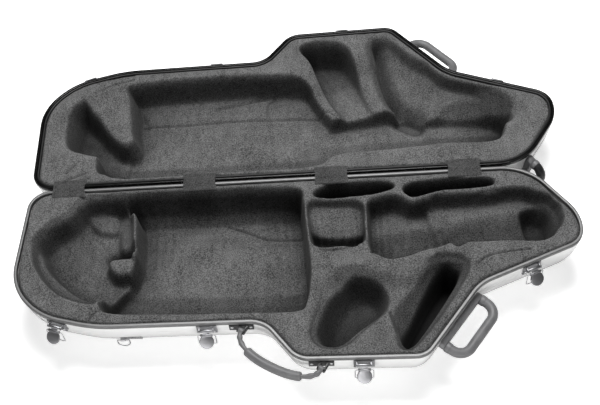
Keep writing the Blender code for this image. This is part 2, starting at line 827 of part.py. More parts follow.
def share_loop(shares):
    """Smooth compartment outline from its shares."""
    return smooth_loop([plan_point(share) for share in shares])


def base_cavities():
    """Compartments of the base: label, outline, top, floor, run-in."""
    top = LINING_TOP_DROP
    return [
        ("bow", share_loop(BOW_SHARES), top, BOW_FLOOR, SHALLOW_RUN_IN),
        ("bow_well", share_loop(BOW_WELL_SHARES), BOW_FLOOR, BOW_WELL_FLOOR, SHALLOW_RUN_IN),
        ("body", share_loop(BODY_SHARES), top, DEEP_FLOOR, DEEP_RUN_IN),
        ("front_slot", share_loop(FRONT_SLOT_SHARES), top, BOW_WELL_FLOOR, SLOT_RUN_IN),
        ("tip_slot", share_loop(TIP_SLOT_SHARES), top, MIDDLE_FLOOR, SLOT_RUN_IN),
        ("pocket_shelf", share_loop(POCKET_SHELF_SHARES), top, BOW_FLOOR, SHALLOW_RUN_IN),
        ("pocket", share_loop(POCKET_SHARES), top, MIDDLE_FLOOR, SHALLOW_RUN_IN),
        ("pear", share_loop(PEAR_SHARES), top, WELL_FLOOR, MIDDLE_RUN_IN),
        ("throat", share_loop(THROAT_SHARES), top, MIDDLE_FLOOR, MIDDLE_RUN_IN),
        ("throat_well", share_loop(THROAT_WELL_SHARES), MIDDLE_FLOOR, EAR_FLOOR, SLOT_RUN_IN),
        ("foot", share_loop(FOOT_SHARES), top, SHALLOW_FLOOR, DEEP_RUN_IN),
        ("groove", share_loop(GROOVE_SHARES), FOOT_STEP, BOW_WELL_FLOOR, MIDDLE_RUN_IN),
        ("valley", share_loop(VALLEY_SHARES), FOOT_STEP, WELL_FLOOR, SHALLOW_RUN_IN),
        ("slant_slot", share_loop(SLANT_SLOT_SHARES), MIDDLE_FLOOR, DEEP_FLOOR, SLOT_RUN_IN),
    ]


def lid_cavities():
    """Compartments of the lid: label, outline, top, floor, run-in."""
    top = LINING_TOP_DROP
    return [
        ("main", share_loop(LID_MAIN_SHARES), top, DEEP_FLOOR, MIDDLE_RUN_IN),
        ("left", share_loop(LID_LEFT_SHARES), top, DEEP_FLOOR, MIDDLE_RUN_IN),
        ("channel", share_loop(LID_CHANNEL_SHARES), top, DEEP_FLOOR, DEEP_RUN_IN),
        ("land", share_loop(LID_LAND_SHARES), top, MIDDLE_FLOOR, SLOPE_RUN_IN),
        ("ear", share_loop(LID_EAR_SHARES), top, EAR_FLOOR, DEEP_RUN_IN),
        ("funnel", share_loop(LID_FUNNEL_SHARES), top, MIDDLE_FLOOR, MIDDLE_RUN_IN),
    ]


def leaf_mesh(name, place, side):
    """One hinge leaf: plate over the rim, leg behind it and its knuckles."""
    up = Vector((0, 0, 1))
    frame = Matrix.Translation((place, HINGE_Y, HALF_DEPTH)) @ Matrix.Diagonal((1, side, 1, 1))
    profile = [
        (LEAF_START, -RIM_DROP),
        (LEAF_END, -RIM_DROP),
        (LEAF_END, -LEAF_DEPTH),
        (LEAF_END - LEAF_THICKNESS, -LEAF_DEPTH),
        (LEAF_END - LEAF_THICKNESS, -RIM_DROP - LEAF_THICKNESS),
        (LEAF_START, -RIM_DROP - LEAF_THICKNESS),
    ]
    half = LEAF_WIDTH * HALF
    middle = MIDDLE_KNUCKLE * HALF
    spans = [(-middle, middle)]
    if side == BASE:
        spans = [(-half, -middle - PIECE_GAP), (middle + PIECE_GAP, half)]
    added = [extruded(name, profile, half, frame)]
    removed = []
    tab_end = LEAF_START + LEAF_THICKNESS
    for start, end in spans:
        low = (start, KNUCKLE_TAB_START, -RIM_DROP - LEAF_THICKNESS)
        added.append(block("tab", low, (end, tab_end, -RIM_DROP), frame))
        added.append(rod("knuckle", KNUCKLE_RADIUS, (start, 0, 0), (end, 0, 0), matrix=frame))
        bore_start = (start - PIECE_GAP, 0, 0)
        removed.append(rod("bore", KNUCKLE_BORE, bore_start, (end + PIECE_GAP, 0, 0), matrix=frame))
    return fused(name, added, removed)


def pin_mesh(name, place):
    """Hinge pin with a head at each end."""
    half = LEAF_WIDTH * HALF + PIECE_GAP
    centre = Vector((place, HINGE_Y, HALF_DEPTH))
    stations = [
        (-half - HINGE_PIN_HEAD, HINGE_PIN_HEAD_RADIUS),
        (-half, HINGE_PIN_HEAD_RADIUS),
        (-half, HINGE_PIN_RADIUS),
        (half, HINGE_PIN_RADIUS),
        (half, HINGE_PIN_HEAD_RADIUS),
        (half + HINGE_PIN_HEAD, HINGE_PIN_HEAD_RADIUS),
    ]
    rows = []
    for along, radius in stations:
        row = []
        for out, up in circle_section(radius, WIRE_SIDES):
            row.append(centre + Vector((along, out, up)))
        rows.append(row)
    return loft(name, rows, cap_first=True, cap_last=True)


def cover_mesh(name, place):
    """Plush tab that arches over a hinge from lining to lining."""
    under = [(-COVER_REACH * reach, COVER_CREST * crest) for reach, crest in COVER_UNDER_SHARES]
    under += [(COVER_REACH * reach, COVER_CREST * crest) for reach, crest in reversed(COVER_UNDER_SHARES)]
    profile = under + [(out, up + COVER_THICKNESS) for out, up in reversed(under)]
    frame = Matrix.Translation((place, HINGE_Y, HALF_DEPTH))
    return extruded(name, profile, COVER_WIDTH * HALF, frame)


def build_hinges(collection, steel, plush):
    """All hinges with their pins and plush tabs. Returns the pieces that turn with the lid."""
    riding = []
    for index, place in enumerate(hinge_places()):
        name = f"hinge_{index + 1}"
        add_part(f"{name}_base_leaf", leaf_mesh(name, place, BASE), collection, steel)
        riding.append(add_part(f"{name}_lid_leaf", leaf_mesh(name, place, LID), collection, steel))
        add_part(f"{name}_pin", pin_mesh(name, place), collection, steel)
        riding.append(add_part(f"{name}_cover", cover_mesh(name, place), collection, plush))
    return riding


def latch_plate_mesh(name, frame, clearance):
    """Latch plate with two ears, seated on the wall."""
    half = LATCH_PLATE_WIDTH * HALF
    ear_rise = EAR_RADIUS - PIECE_GAP
    added = [block(name, (-half, -SEAT_DEPTH, -LATCH_PLATE_FOOT), (half, LATCH_PLATE_FACE, -LATCH_PLATE_TOP), frame)]
    removed = []
    for hand in (-1, 1):
        low, high = sorted((hand * EAR_INNER, hand * EAR_OUTER))
        ear_low = (low, 0, -LATCH_AXIS_DROP - ear_rise)
        ear_high = (high, LATCH_AXIS_OUT, -LATCH_AXIS_DROP + ear_rise)
        added.append(block("ear", ear_low, ear_high, frame))
        axis_low = (low, LATCH_AXIS_OUT, -LATCH_AXIS_DROP)
        axis_high = (high, LATCH_AXIS_OUT, -LATCH_AXIS_DROP)
        added.append(rod("ear_end", EAR_RADIUS, axis_low, axis_high, ROD_SIDES, frame))
    bore_low = (-half, LATCH_AXIS_OUT, -LATCH_AXIS_DROP)
    bore_high = (half, LATCH_AXIS_OUT, -LATCH_AXIS_DROP)
    removed.append(rod("ear_bore", EAR_BORE, bore_low, bore_high, ROD_SIDES, frame))
    removed.append(clearance.copy())
    return fused(name, added, removed)


def lever_mesh():
    """Latch lever about its own axis, hanging down -Z."""
    half = LEVER_BARREL_LENGTH * HALF
    pin = LEVER_TRUNNION_LENGTH * HALF
    stem = LEVER_STEM_WIDTH * HALF
    thick = LEVER_STEM_THICKNESS * HALF
    pad = PAD_THICKNESS * HALF
    added = [
        rod("lever", LEVER_BARREL_RADIUS, (-half, 0, 0), (half, 0, 0)),
        rod("trunnion", LEVER_TRUNNION_RADIUS, (-pin, 0, 0), (pin, 0, 0), WIRE_SIDES),
        rod("bail_barrel", BAIL_BARREL_RADIUS, (-half, 0, -BAIL_AXIS_DROP), (half, 0, -BAIL_AXIS_DROP)),
        block("stem", (-stem, -thick, -PAD_DROP), (stem, thick, 0)),
        pad_mesh(pad),
    ]
    bore_low = (-half - PIECE_GAP, 0, -BAIL_AXIS_DROP)
    bore_high = (half + PIECE_GAP, 0, -BAIL_AXIS_DROP)
    return fused("lever", added, [rod("bail_bore", BAIL_BORE, bore_low, bore_high)])


def pad_mesh(half):
    """Round finger pad of a lever with eased edges."""
    stations = [
        (-half, PAD_RADIUS - PAD_BEVEL),
        (PAD_BEVEL - half, PAD_RADIUS),
        (half - PAD_BEVEL, PAD_RADIUS),
        (half, PAD_RADIUS - PAD_BEVEL),
    ]
    rows = []
    for out, radius in stations:
        section = circle_section(radius, PAD_SIDES)
        rows.append([Vector((across, out, up - PAD_DROP)) for across, up in section])
    return loft("pad", rows, cap_first=True, cap_last=True)


def bail_mesh():
    """Closed wire bail about its own axis, hanging down -Z."""
    corners = [
        (BAIL_HALF_WIDTH, 0, 1, 1),
        (BAIL_HALF_WIDTH, -BAIL_LENGTH, 1, -1),
        (-BAIL_HALF_WIDTH, -BAIL_LENGTH, -1, -1),
        (-BAIL_HALF_WIDTH, 0, -1, 1),
    ]
    path = []
    for index, (across, up, way_x, way_z) in enumerate(corners):
        centre = Vector((across - way_x * BAIL_CORNER, 0, up - way_z * BAIL_CORNER))
        for step in range(BAIL_CORNER_STEPS + 1):
            angle = math.pi * HALF * (1 - index - step / BAIL_CORNER_STEPS)
            path.append(centre + Vector((math.cos(angle), 0, math.sin(angle))) * BAIL_CORNER)
    sections = [circle_section(BAIL_WIRE, WIRE_SIDES)] * len(path)
    return swept("bail", path, sections, closed=True)


def catch_mesh(name, frame, clearance):
    """Catch on the lid: a shelf with a lip, and a plate seated on the wall."""
    profile = [
        (CATCH_RIM_FACE, -CATCH_TOP),
        (CATCH_LIP_FACE, -CATCH_TOP),
        (CATCH_LIP_FACE, -CATCH_LIP_FOOT),
        (CATCH_LIP_BACK, -CATCH_LIP_FOOT),
        (CATCH_LIP_BACK, -CATCH_SHELF),
        (CATCH_FACE, -CATCH_SHELF),
        (CATCH_FACE, -CATCH_FOOT),
        (-SEAT_DEPTH, -CATCH_FOOT),
        (-SEAT_DEPTH, -LATCH_PLATE_TOP),
        (CATCH_RIM_FACE, -LATCH_PLATE_TOP),
    ]
    return fused(name, [extruded(name, profile, CATCH_WIDTH * HALF, frame)], [clearance.copy()])


def build_latches(collection, clearances, metal):
    """All draw latches. Returns the catches, which ride on the lid."""
    lever = lever_mesh()
    bail = bail_mesh()
    catches = []
    for index, share in enumerate(LATCH_SHARES):
        name = f"latch_{index + 1}"
        frame = rim_frame(share, BASE)
        add_part(f"{name}_plate", latch_plate_mesh(name, frame, clearances[BASE]), collection, metal)
        axis = frame @ Matrix.Translation((0, LATCH_AXIS_OUT, -LATCH_AXIS_DROP)) @ Matrix.Rotation(LEVER_TILT, 4, "X")
        add_part(f"{name}_lever", lever.copy(), collection, metal, axis)
        lower = plumb_frame(axis, (0, 0, -BAIL_AXIS_DROP))
        add_part(f"{name}_bail", bail.copy(), collection, metal, lower)
        catch = catch_mesh(name, rim_frame(share, LID), clearances[LID])
        catches.append(add_part(f"{name}_catch", catch, collection, metal))
    return catches


def handle_frame():
    """Frame of the carrying handle: X from foot to foot, Y outward and a little down."""
    pivots = []
    for share, standoff in zip(HANDLE_FOOT_SHARES, HANDLE_FOOT_STANDOFFS):
        pivots.append(rim_frame(share, BASE) @ Vector((0, standoff, -HANDLE_AXIS_DROP)))
    along = (pivots[1] - pivots[0]).normalized()
    level = Vector((along[1], -along[0], 0))
    out = level * math.cos(HANDLE_DROOP) - Vector((0, 0, math.sin(HANDLE_DROOP)))
    turn = Matrix((along, out, along.cross(out))).transposed().to_4x4()
    return Matrix.Translation(pivots[0]) @ turn, (pivots[1] - pivots[0]).length


def handle_stations(span):
    """Path of the handle core: list of (point, half depth, half breadth)."""
    stations = []
    for step in range(HANDLE_ARC_STEPS + 1):
        angle = math.pi * step / HANDLE_ARC_STEPS
        swing = math.copysign(abs(math.cos(angle)) ** HANDLE_ARC_POWER, math.cos(angle))
        out = HANDLE_HEIGHT * abs(math.sin(angle)) ** HANDLE_ARC_POWER
        from_end = min(step, HANDLE_ARC_STEPS - step)
        depth, breadth = HANDLE_CORE_DEPTH, HANDLE_CORE_BREADTH
        if from_end < HANDLE_ARM_STATIONS:
            ribbed = from_end >= HANDLE_FIRST_RIB and from_end % 2 == 0
            depth = breadth = HANDLE_RIB_RADIUS if ribbed else HANDLE_ARM_RADIUS
        stations.append((Vector((span * HALF * (1 - swing), out, 0)), depth, breadth))
    return stations


def core_mesh(span):
    """Handle core with an eye at each end."""
    stations = handle_stations(span)
    path = [station[0] for station in stations]
    sections = [oval_section(depth, breadth, HANDLE_SECTION_SIDES) for _, depth, breadth in stations]
    added = [swept("handle_core", path, sections)]
    removed = []
    half = HANDLE_EYE_LENGTH * HALF
    for place in (0, span):
        added.append(rod("eye", HANDLE_EYE_RADIUS, (place - half, 0, 0), (place + half, 0, 0), MANY_SIDES))
        bore_start = (place - HANDLE_EYE_LENGTH, 0, 0)
        removed.append(rod("eye_bore", HANDLE_EYE_BORE, bore_start, (place + HANDLE_EYE_LENGTH, 0, 0)))
    return fused("handle_core", added, removed)


def grip_mesh(span):
    """Soft sleeve around the middle of the core."""
    stations = handle_stations(span)
    path = [station[0] for station in stations[HANDLE_ARM_STATIONS:-HANDLE_ARM_STATIONS]]
    count = len(path)
    normal = Vector((0, 0, 1))
    outer_rows = []
    inner_rows = []
    for index in range(count):
        before = path[max(index - 1, 0)]
        after = path[min(index + 1, count - 1)]
        across = normal.cross((after - before).normalized())
        scale = GRIP_END_SCALE if index in (0, count - 1) else 1
        outer = oval_section(GRIP_DEPTH * scale, GRIP_BREADTH * scale, MANY_SIDES)
        inner = oval_section(HANDLE_CORE_DEPTH + GRIP_BORE_GAP, HANDLE_CORE_BREADTH + GRIP_BORE_GAP, MANY_SIDES)
        outer_rows.append([path[index] + across * point[0] + normal * point[1] for point in outer])
        inner_rows.append([path[index] + across * point[0] + normal * point[1] for point in inner])
    return loft("handle_grip", outer_rows + inner_rows[::-1], join_ends=True)


def handle_foot_mesh(name, share, axis_frame, place, clearance):
    """Foot of the handle: winged plate on the wall, two ears and the pin between them."""
    frame = rim_frame(share, BASE)
    half = HANDLE_WING_WIDTH * HALF
    wing_low = (-half, -SEAT_DEPTH, -HANDLE_WING_FOOT)
    added = [block(name, wing_low, (half, HANDLE_WING_FACE, -HANDLE_WING_TOP), frame)]
    level = axis_frame @ Matrix.Rotation(-HANDLE_DROOP, 4, "X")
    rise = HANDLE_EAR_HEIGHT * HALF
    inner = HANDLE_EYE_LENGTH * HALF + PIECE_GAP
    outer = inner + HANDLE_EAR_THICKNESS
    for hand in (-1, 1):
        low, high = sorted((place + hand * inner, place + hand * outer))
        added.append(block("ear", (low, -HANDLE_EAR_REACH, PIECE_GAP - rise), (high, 0, rise - PIECE_GAP), level))
        added.append(rod("ear_end", rise, (low, 0, 0), (high, 0, 0), MANY_SIDES, axis_frame))
    pin_start = (place - inner - PIECE_GAP, 0, 0)
    added.append(rod("pin", HANDLE_PIN_RADIUS, pin_start, (place + inner + PIECE_GAP, 0, 0), ROD_SIDES, axis_frame))
    return fused(name, added, [clearance.copy()])


def build_handle(collection, clearances, plastic, rubber):
    """Carrying handle with its two feet."""
    frame, span = handle_frame()
    names = ("handle_foot_left", "handle_foot_right")
    for name, share, place in zip(names, HANDLE_FOOT_SHARES, (0, span)):
        mesh = handle_foot_mesh(name, share, frame, place, clearances[BASE])
        add_part(name, mesh, collection, plastic)
    add_part("handle_core", core_mesh(span), collection, plastic, frame)
    add_part("handle_grip", grip_mesh(span), collection, rubber, frame)


def loop_path(half_span, reach, turn):
    """Path of a loop handle off its bar."""
    start = LOOP_BAR_FACE + PIECE_GAP
    path = [Vector((-half_span, start, 0))]
    for step in range(LOOP_TURN_STEPS + 1):
        angle = math.pi * HALF * step / LOOP_TURN_STEPS
        across = turn * (1 - math.cos(angle)) - half_span
        path.append(Vector((across, reach - turn * (1 - math.sin(angle)), 0)))
    mirrored = [Vector((-point[0], point[1], 0)) for point in reversed(path)]
    return path + mirrored


def bar_mesh(name, frame, length, clearance):
    """Mounting bar of a loop handle with rounded ends, seated on the wall."""
    half = length * HALF - LOOP_BAR_ROUND
    rise = LOOP_BAR_HEIGHT * HALF
    rows = []
    for out in (-BAR_SEAT_DEPTH, LOOP_BAR_FACE):
        row = []
        for hand in (1, -1):
            for step in range(LOOP_TURN_STEPS + 1):
                angle = math.pi * (step / LOOP_TURN_STEPS - HALF)
                across = hand * (half + LOOP_BAR_ROUND * math.cos(angle))
                row.append(frame @ Vector((across, out, hand * rise * math.sin(angle))))
        rows.append(row)
    return fused(name, [loft(name, rows, cap_first=True, cap_last=True)], [clearance.copy()])


def build_loop(name, frame, length, path, clearance, collection, plastic, rubber):
    """Loop handle: bar on the wall and a bent tube off it."""
    bar = add_part(f"{name}_bar", bar_mesh(name, frame, length, clearance), collection, plastic)
    tube = swept(name, path, [circle_section(LOOP_RADIUS, LOOP_SIDES)] * len(path))
    loop = add_part(name, moved_mesh(tube, frame), collection, rubber)
    return [bar, loop]


def strap_mesh(name, frame, clearance):
    """Strap bracket: plate on the wall and a barrel for the ring."""
    height = STRAP_PLATE_HEIGHT * HALF
    barrel = STRAP_BARREL_LENGTH * HALF
    arm = barrel - PIECE_GAP
    side, out, rise = STRAP_AXIS_SIDE, STRAP_AXIS_OUT, STRAP_AXIS_RISE
    arm_low = (side - arm, -SEAT_DEPTH, rise - STRAP_BARREL_BORE)
    arm_high = (side + arm, out, rise + STRAP_BARREL_BORE)
    added = [
        block(name, (-STRAP_PLATE_START, -SEAT_DEPTH, -height), (STRAP_PLATE_END, STRAP_PLATE_FACE, height), frame),
        block("arm", arm_low, arm_high, frame),
        rod("barrel", STRAP_BARREL_RADIUS, (side - barrel, out, rise), (side + barrel, out, rise), ROD_SIDES, frame),
    ]
    bore_low = (side - STRAP_BARREL_LENGTH, out, rise)
    bore = rod("bore", STRAP_BARREL_BORE, bore_low, (side + STRAP_BARREL_LENGTH, out, rise), ROD_SIDES, frame)
    return fused(name, added, [bore, clearance.copy()])


def ring_mesh():
    """D-shaped ring that hangs from a straight bar on its axis."""
    path = []
    for step in range(STRAP_RING_STEPS + 1):
        angle = math.pi * step / STRAP_RING_STEPS
        drop = STRAP_RING_DROP + STRAP_RING_RADIUS * math.sin(angle)
        path.append(Vector((STRAP_RING_RADIUS * math.cos(angle), 0, -drop)))
    path.append(Vector((-STRAP_RING_RADIUS, 0, 0)))
    path.append(Vector((STRAP_RING_RADIUS, 0, 0)))
    return swept("ring", path, [circle_section(STRAP_WIRE, WIRE_SIDES)] * len(path), closed=True)


def plumb_frame(frame, place):
    """Frame at a place of another frame, with the same X axis but Z straight up."""
    along = frame.to_3x3() @ Vector((1, 0, 0))
    up = Vector((0, 0, 1))
    return frame_matrix(frame @ Vector(place), up.cross(along), up)


def build_strap(name, frame, clearance, collection, metal):
    """Strap bracket with its ring."""
    bracket = add_part(f"{name}_bracket", strap_mesh(name, frame, clearance), collection, metal)
    axis = plumb_frame(frame, (STRAP_AXIS_SIDE, STRAP_AXIS_OUT, STRAP_AXIS_RISE))
    ring = add_part(f"{name}_ring", ring_mesh(), collection, metal, axis)
    return [bracket, ring]


def hang_on(parts, name, place, collection):
    """Parent parts to an empty on their joint's axis without moving them."""
    empty = bpy.data.objects.new(name, None)
    empty.matrix_world = Matrix.Translation(place)
    collection.objects.link(empty)
    for part in parts:
        part.parent = empty
        part.matrix_parent_inverse = Matrix.Translation(place).inverted()


def main():
    """Build the whole case."""
    clear_scene()
    parts = make_collection("baritone_sax_case")
    cutters = make_collection("cutters")
    gloss = make_material("shell_white", (0.85, 0.85, 0.84), 0.18)
    alloy = make_material("rim_alloy", (0.55, 0.56, 0.57), 0.35, 1.0)
    channel = make_material("rim_black", (0.02, 0.02, 0.02), 0.45)
    plush = make_material("plush", (0.09, 0.09, 0.10), 0.95)
    rubber = make_material("rubber_grey", (0.10, 0.10, 0.11), 0.60)
    seal = make_material("seal_rubber", (0.015, 0.015, 0.015), 0.70)
    metal = make_material("latch_metal", (0.20, 0.20, 0.21), 0.35, 1.0)
    steel = make_material("hinge_steel", (0.50, 0.50, 0.51), 0.30, 1.0)
    plastic = make_material("fitting_plastic", (0.16, 0.16, 0.17), 0.50)
    build_shell("base_shell", BASE, parts, gloss)
    lid = [build_shell("lid_shell", LID, parts, gloss)]
    build_rim("base_rim", BASE, parts, cutters, alloy)
    lid.append(build_rim("lid_rim", LID, parts, cutters, channel))
    lid.append(build_seal(parts, cutters, seal))
    build_lining("base_lining", BASE, BASE_LINING_EDGE, base_cavities(), parts, cutters, plush)
    lid.append(build_lining("lid_lining", LID, LID_LINING_EDGE, lid_cavities(), parts, cutters, plush))
    lid += build_hinges(parts, steel, plush)
    clearances = {side: build_clearance(side) for side in (BASE, LID)}
    lid += build_latches(parts, clearances, metal)
    build_handle(parts, clearances, plastic, rubber)
    slant = wall_frame(SLANT_LOOP_SHARE, SLANT_LOOP_DROP, BASE)
    path = loop_path(LOOP_HALF_SPAN, LOOP_REACH, LOOP_TURN)
    build_loop("base_loop", slant, LOOP_BAR_LENGTH, path, clearances[BASE], parts, plastic, rubber)
    slant = wall_frame(SLANT_LOOP_SHARE, SLANT_LOOP_DROP, LID)
    lid += build_loop("lid_loop", slant, LOOP_BAR_LENGTH, path, clearances[LID], parts, plastic, rubber)
    upright = wall_frame(TIP_LOOP_SHARE, TIP_LOOP_DROP, LID) @ Matrix.Rotation(math.pi * HALF, 4, "Y")
    path = loop_path(TIP_HALF_SPAN, TIP_REACH, TIP_TURN)
    lid += build_loop("tip_loop", upright, TIP_BAR_LENGTH, path, clearances[LID], parts, plastic, rubber)
    strap = wall_frame(BASE_STRAP_SHARE, BASE_STRAP_DROP, BASE)
    build_strap("base_strap", strap, clearances[BASE], parts, metal)
    strap = wall_frame(LID_STRAP_SHARE, LID_STRAP_DROP, LID)
    lid += build_strap("lid_strap", strap, clearances[LID], parts, metal)
    hang_on(lid, "lid_axis", (0, HINGE_Y, HALF_DEPTH), parts)


main()
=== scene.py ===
"""Hard case for a baritone saxophone, standing open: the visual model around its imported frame.

Lengths are metres, +Z is up. X runs along the hinge line, the base lies toward -Y and the lid toward +Y.
In plan both halves are drawn by (x, span), where span is the distance from the hinge axis, and a drop
is the distance below the rim plane. A share is a part of the case's length or width.
"""
import math

import bpy
import bmesh
import numpy as np
from mathutils import Matrix, Vector


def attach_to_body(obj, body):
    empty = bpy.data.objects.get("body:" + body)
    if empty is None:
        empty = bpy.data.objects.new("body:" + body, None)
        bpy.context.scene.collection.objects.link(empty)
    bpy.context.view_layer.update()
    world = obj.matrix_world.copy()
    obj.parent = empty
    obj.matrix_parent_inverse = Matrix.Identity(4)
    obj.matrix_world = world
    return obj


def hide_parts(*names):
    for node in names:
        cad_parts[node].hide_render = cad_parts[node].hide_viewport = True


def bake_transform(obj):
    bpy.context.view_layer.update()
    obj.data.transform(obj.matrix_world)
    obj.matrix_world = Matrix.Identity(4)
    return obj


bl_info = {
    "name": "Baritone saxophone case",
    "version": (1, 0, 0),
    "blender": (4, 5, 0),
    "location": "3D View > Sidebar > Case",
    "description": "Builds the open case with its moulded plush linings and its fittings",
    "category": "Add Mesh",
}

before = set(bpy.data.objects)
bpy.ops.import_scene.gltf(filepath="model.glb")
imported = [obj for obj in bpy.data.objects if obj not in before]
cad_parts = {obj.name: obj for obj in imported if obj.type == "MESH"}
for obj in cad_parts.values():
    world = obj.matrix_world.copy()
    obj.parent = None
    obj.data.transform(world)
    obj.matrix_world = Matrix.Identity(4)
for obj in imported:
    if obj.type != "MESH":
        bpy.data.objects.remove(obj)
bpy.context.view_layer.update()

# Whole case
CASE_LENGTH = 1.155
HALF_WIDTH = 0.443
HALF_DEPTH = 0.125
HINGE_Y = 0.190
SPINE_STANDOFF = 0.005
PIECE_GAP = 0.0003
HALF = 0.5
BASE = -1
LID = 1
BODY_NAMES = {BASE: "base", LID: "lid"}

# Outline corners, their roundings and the run-in of the walls, as in the part's source
CORNER_SHARES = [
    (-0.474, 0.000), (-0.481, 0.542), (-0.422, 0.709), (-0.325, 0.779), (-0.039, 0.791), (0.016, 0.985),
    (0.226, 1.000), (0.330, 0.650), (0.517, 0.449), (0.522, 0.300), (0.445, 0.000),
]
RIM_RADIUS_SHARES = (0.10, 0.29, 0.34, 0.67, 0.13, 0.11, 0.09, 0.22, 0.11, 0.22, 0.25)
FLOOR_RADIUS_SHARES = (0.07, 0.11, 0.14, 0.45, 0.27, 0.07, 0.07, 0.34, 0.07, 0.11, 0.18)
RUN_IN_SHARES = (0.20, 0.20, 0.20, 0.20, 0.20, 0.20, 0.20, 0.16, 0.19, 0.13, 0.13)
CORNER_STEPS = (7, 4, 3, 2, 5, 5, 5, 3, 6, 3, 5)
FINENESS = 4

# Shells, rims and seal
SHELL_THICKNESS = 0.003
SHELL_TOP_DROP = 0.0033
SKIRT_DEPTH = 0.010
WALL_STEPS = 14
RIM_OUTER = 0.0020
RIM_INNER = 0.0045
RIM_DROP = 0.0003
RIM_HEIGHT = 0.0088
RIM_WEB = 0.0030
RIM_CREST = 0.0016
CREST_STEPS = 4
SEAL_PLACE = 0.0075
SEAL_DROP = 0.0036
SEAL_RADIUS = 0.0026
SEAL_SIDES = 10
NOTCH_FLOOR = 0.0018
NOTCH_START = 0.0020
NOTCH_END = 0.0105
NOTCH_RISE = 0.002

# Linings
GRID_STEP = 0.0022
GRID_LOW = -0.560
GRID_HIGH = 0.610
GRID_FAR = 0.455
LINING_TOP = 0.0025
LINING_EDGES = {BASE: 0.0066, LID: 0.0106}
LINING_BORDER = 0.0040
BORDER_DROP = 0.018
EDGE_ROLL = 0.0040
BANK_WIDTH = 0.004
BANK_SLOPE = 5
BORDER_SKIN = 0.0025
WALL_POWER = 3.0
LIP = 0.005
LOOP_STEPS = 6
SOFTNESS = 1.3
FOAM_WAVE = 0.0007
FOAM_SEED = 7
FOAM_SPREADS = ((14, 1.0), (5, 0.45))
BLUR_REACH = 3
RIDGE_REACH = 3
RAISED_FAR = 0.10
RAISED_POWER = 1.6

# Openness, from which the plush of the linings gets painted shade in its hollows: grid steps looked along,
# the ways looked, and what share of the sky counts as closed or open. The ways toward the near side of a half
# weigh more
SKY_NAME = "openness"
SKY_STEPS = (1, 2, 4, 8, 14, 22, 32, 42)
NEAR_WEIGHT = 2.2
SKY_CLOSED = 0.22
SKY_OPEN = 0.95
SKY_POWER = 1.5
SKY_WAYS = ((1, 0), (1, 1), (0, 1), (-1, 1), (-1, 0), (-1, -1), (0, -1), (1, -1))

# Hinges
HINGE_FIRST_SHARE = -0.4035
HINGE_PITCH_SHARE = 0.245
HINGE_COUNT = 4
LEAF_WIDTH = 0.057
TAB_WIDTH = 0.068
TAB_REACH = 0.024
TAB_CREST = 0.0052
TAB_THICKNESS = 0.0016
TAB_ROWS = 26
TAB_COLUMNS = 30
TAB_ARCH_SHARE = 0.42
TAB_TUCK_SHARE = 0.86
TAB_TUCK = 0.0022
TAB_LIFT = 0.0004
TAB_SIDE_FALL = 0.0012
TAB_FLARE = 0.05
TAB_SHARP_ANGLE = math.radians(80)

# Latches, handle, loops and strap brackets: places as shares of length and width
LATCH_SHARES = [(-0.393, 0.727), (-0.136, 0.788), (0.1245, 0.993), (0.4225, 0.551)]
LATCH_RIVETS = {BASE: (0.0135, 0.0028, 0.0295), LID: (0.0085, 0.0033, 0.0235)}
LATCH_RIVET = {"Radius": 0.0028, "Height": 0.0013}
HANDLE_FOOT_SHARES = [(-0.077, 0.790), (0.055, 0.990)]
HANDLE_FOOT_STANDOFFS = (0.0120, 0.0145)
HANDLE_AXIS_DROP = 0.0160
HANDLE_DROOP = math.radians(16)
HANDLE_HEIGHT = 0.0380
HANDLE_ARC_POWER = 0.91
HANDLE_FIRST_TURN = math.radians(49)
GRIP_DEPTH = 0.0082
GRIP_BREADTH = 0.0092
GRIP_FLANGE = 0.0012
GRIP_FLANGE_TURN = 0.22
GRIP_END_SCALE = 0.80
GRIP_END_SHARE = 0.03
GRIP_STEPS = 48
GRIP_SIDES = 32
SCREW_PLACE = (0.0185, 0.0030, 0.0185)
SCREW_HEAD = {"Radius": 0.0033, "Height": 0.0014}
HEAD_SIDES = 16
HEAD_RINGS = 8
SLANT_LOOP_SHARE = (0.288, 0.790)
SLANT_LOOP_DROP = 0.032
TIP_LOOP_SHARE = (0.450, 0.080)
TIP_LOOP_DROP = 0.054
LOOP_BAR_FACE = 0.0120
SLANT_LOOP = {"half_span": 0.0640, "reach": 0.0520, "turn": 0.0260}
TIP_LOOP = {"half_span": 0.0310, "reach": 0.0420, "turn": 0.0240}
LOOP_NORMAL = Vector((0, 0, -1))
LOOP_RADIUS = 0.0098
LOOP_TURN_STEPS = 14
LOOP_SIDES = 24
COLLAR_STATIONS = (0, 0.0010, 0.0090, 0.0100)
COLLAR_RADII = (0.0102, 0.0108, 0.0106, 0.0094)
HINGE_EDGE = 0.0002
LATCH_EDGE = 0.0005
HANDLE_EDGE = 0.0006
BAR_EDGE = 0.0012
BRACKET_EDGE = 0.0004
RING_EDGE = 0.0001
EDGE_STEPS = 2
FLAT_ANGLE = math.radians(0.5)
BEVEL_ANGLE = math.radians(34)
SHARP_ANGLE = math.radians(38)
WELD = 0.00001

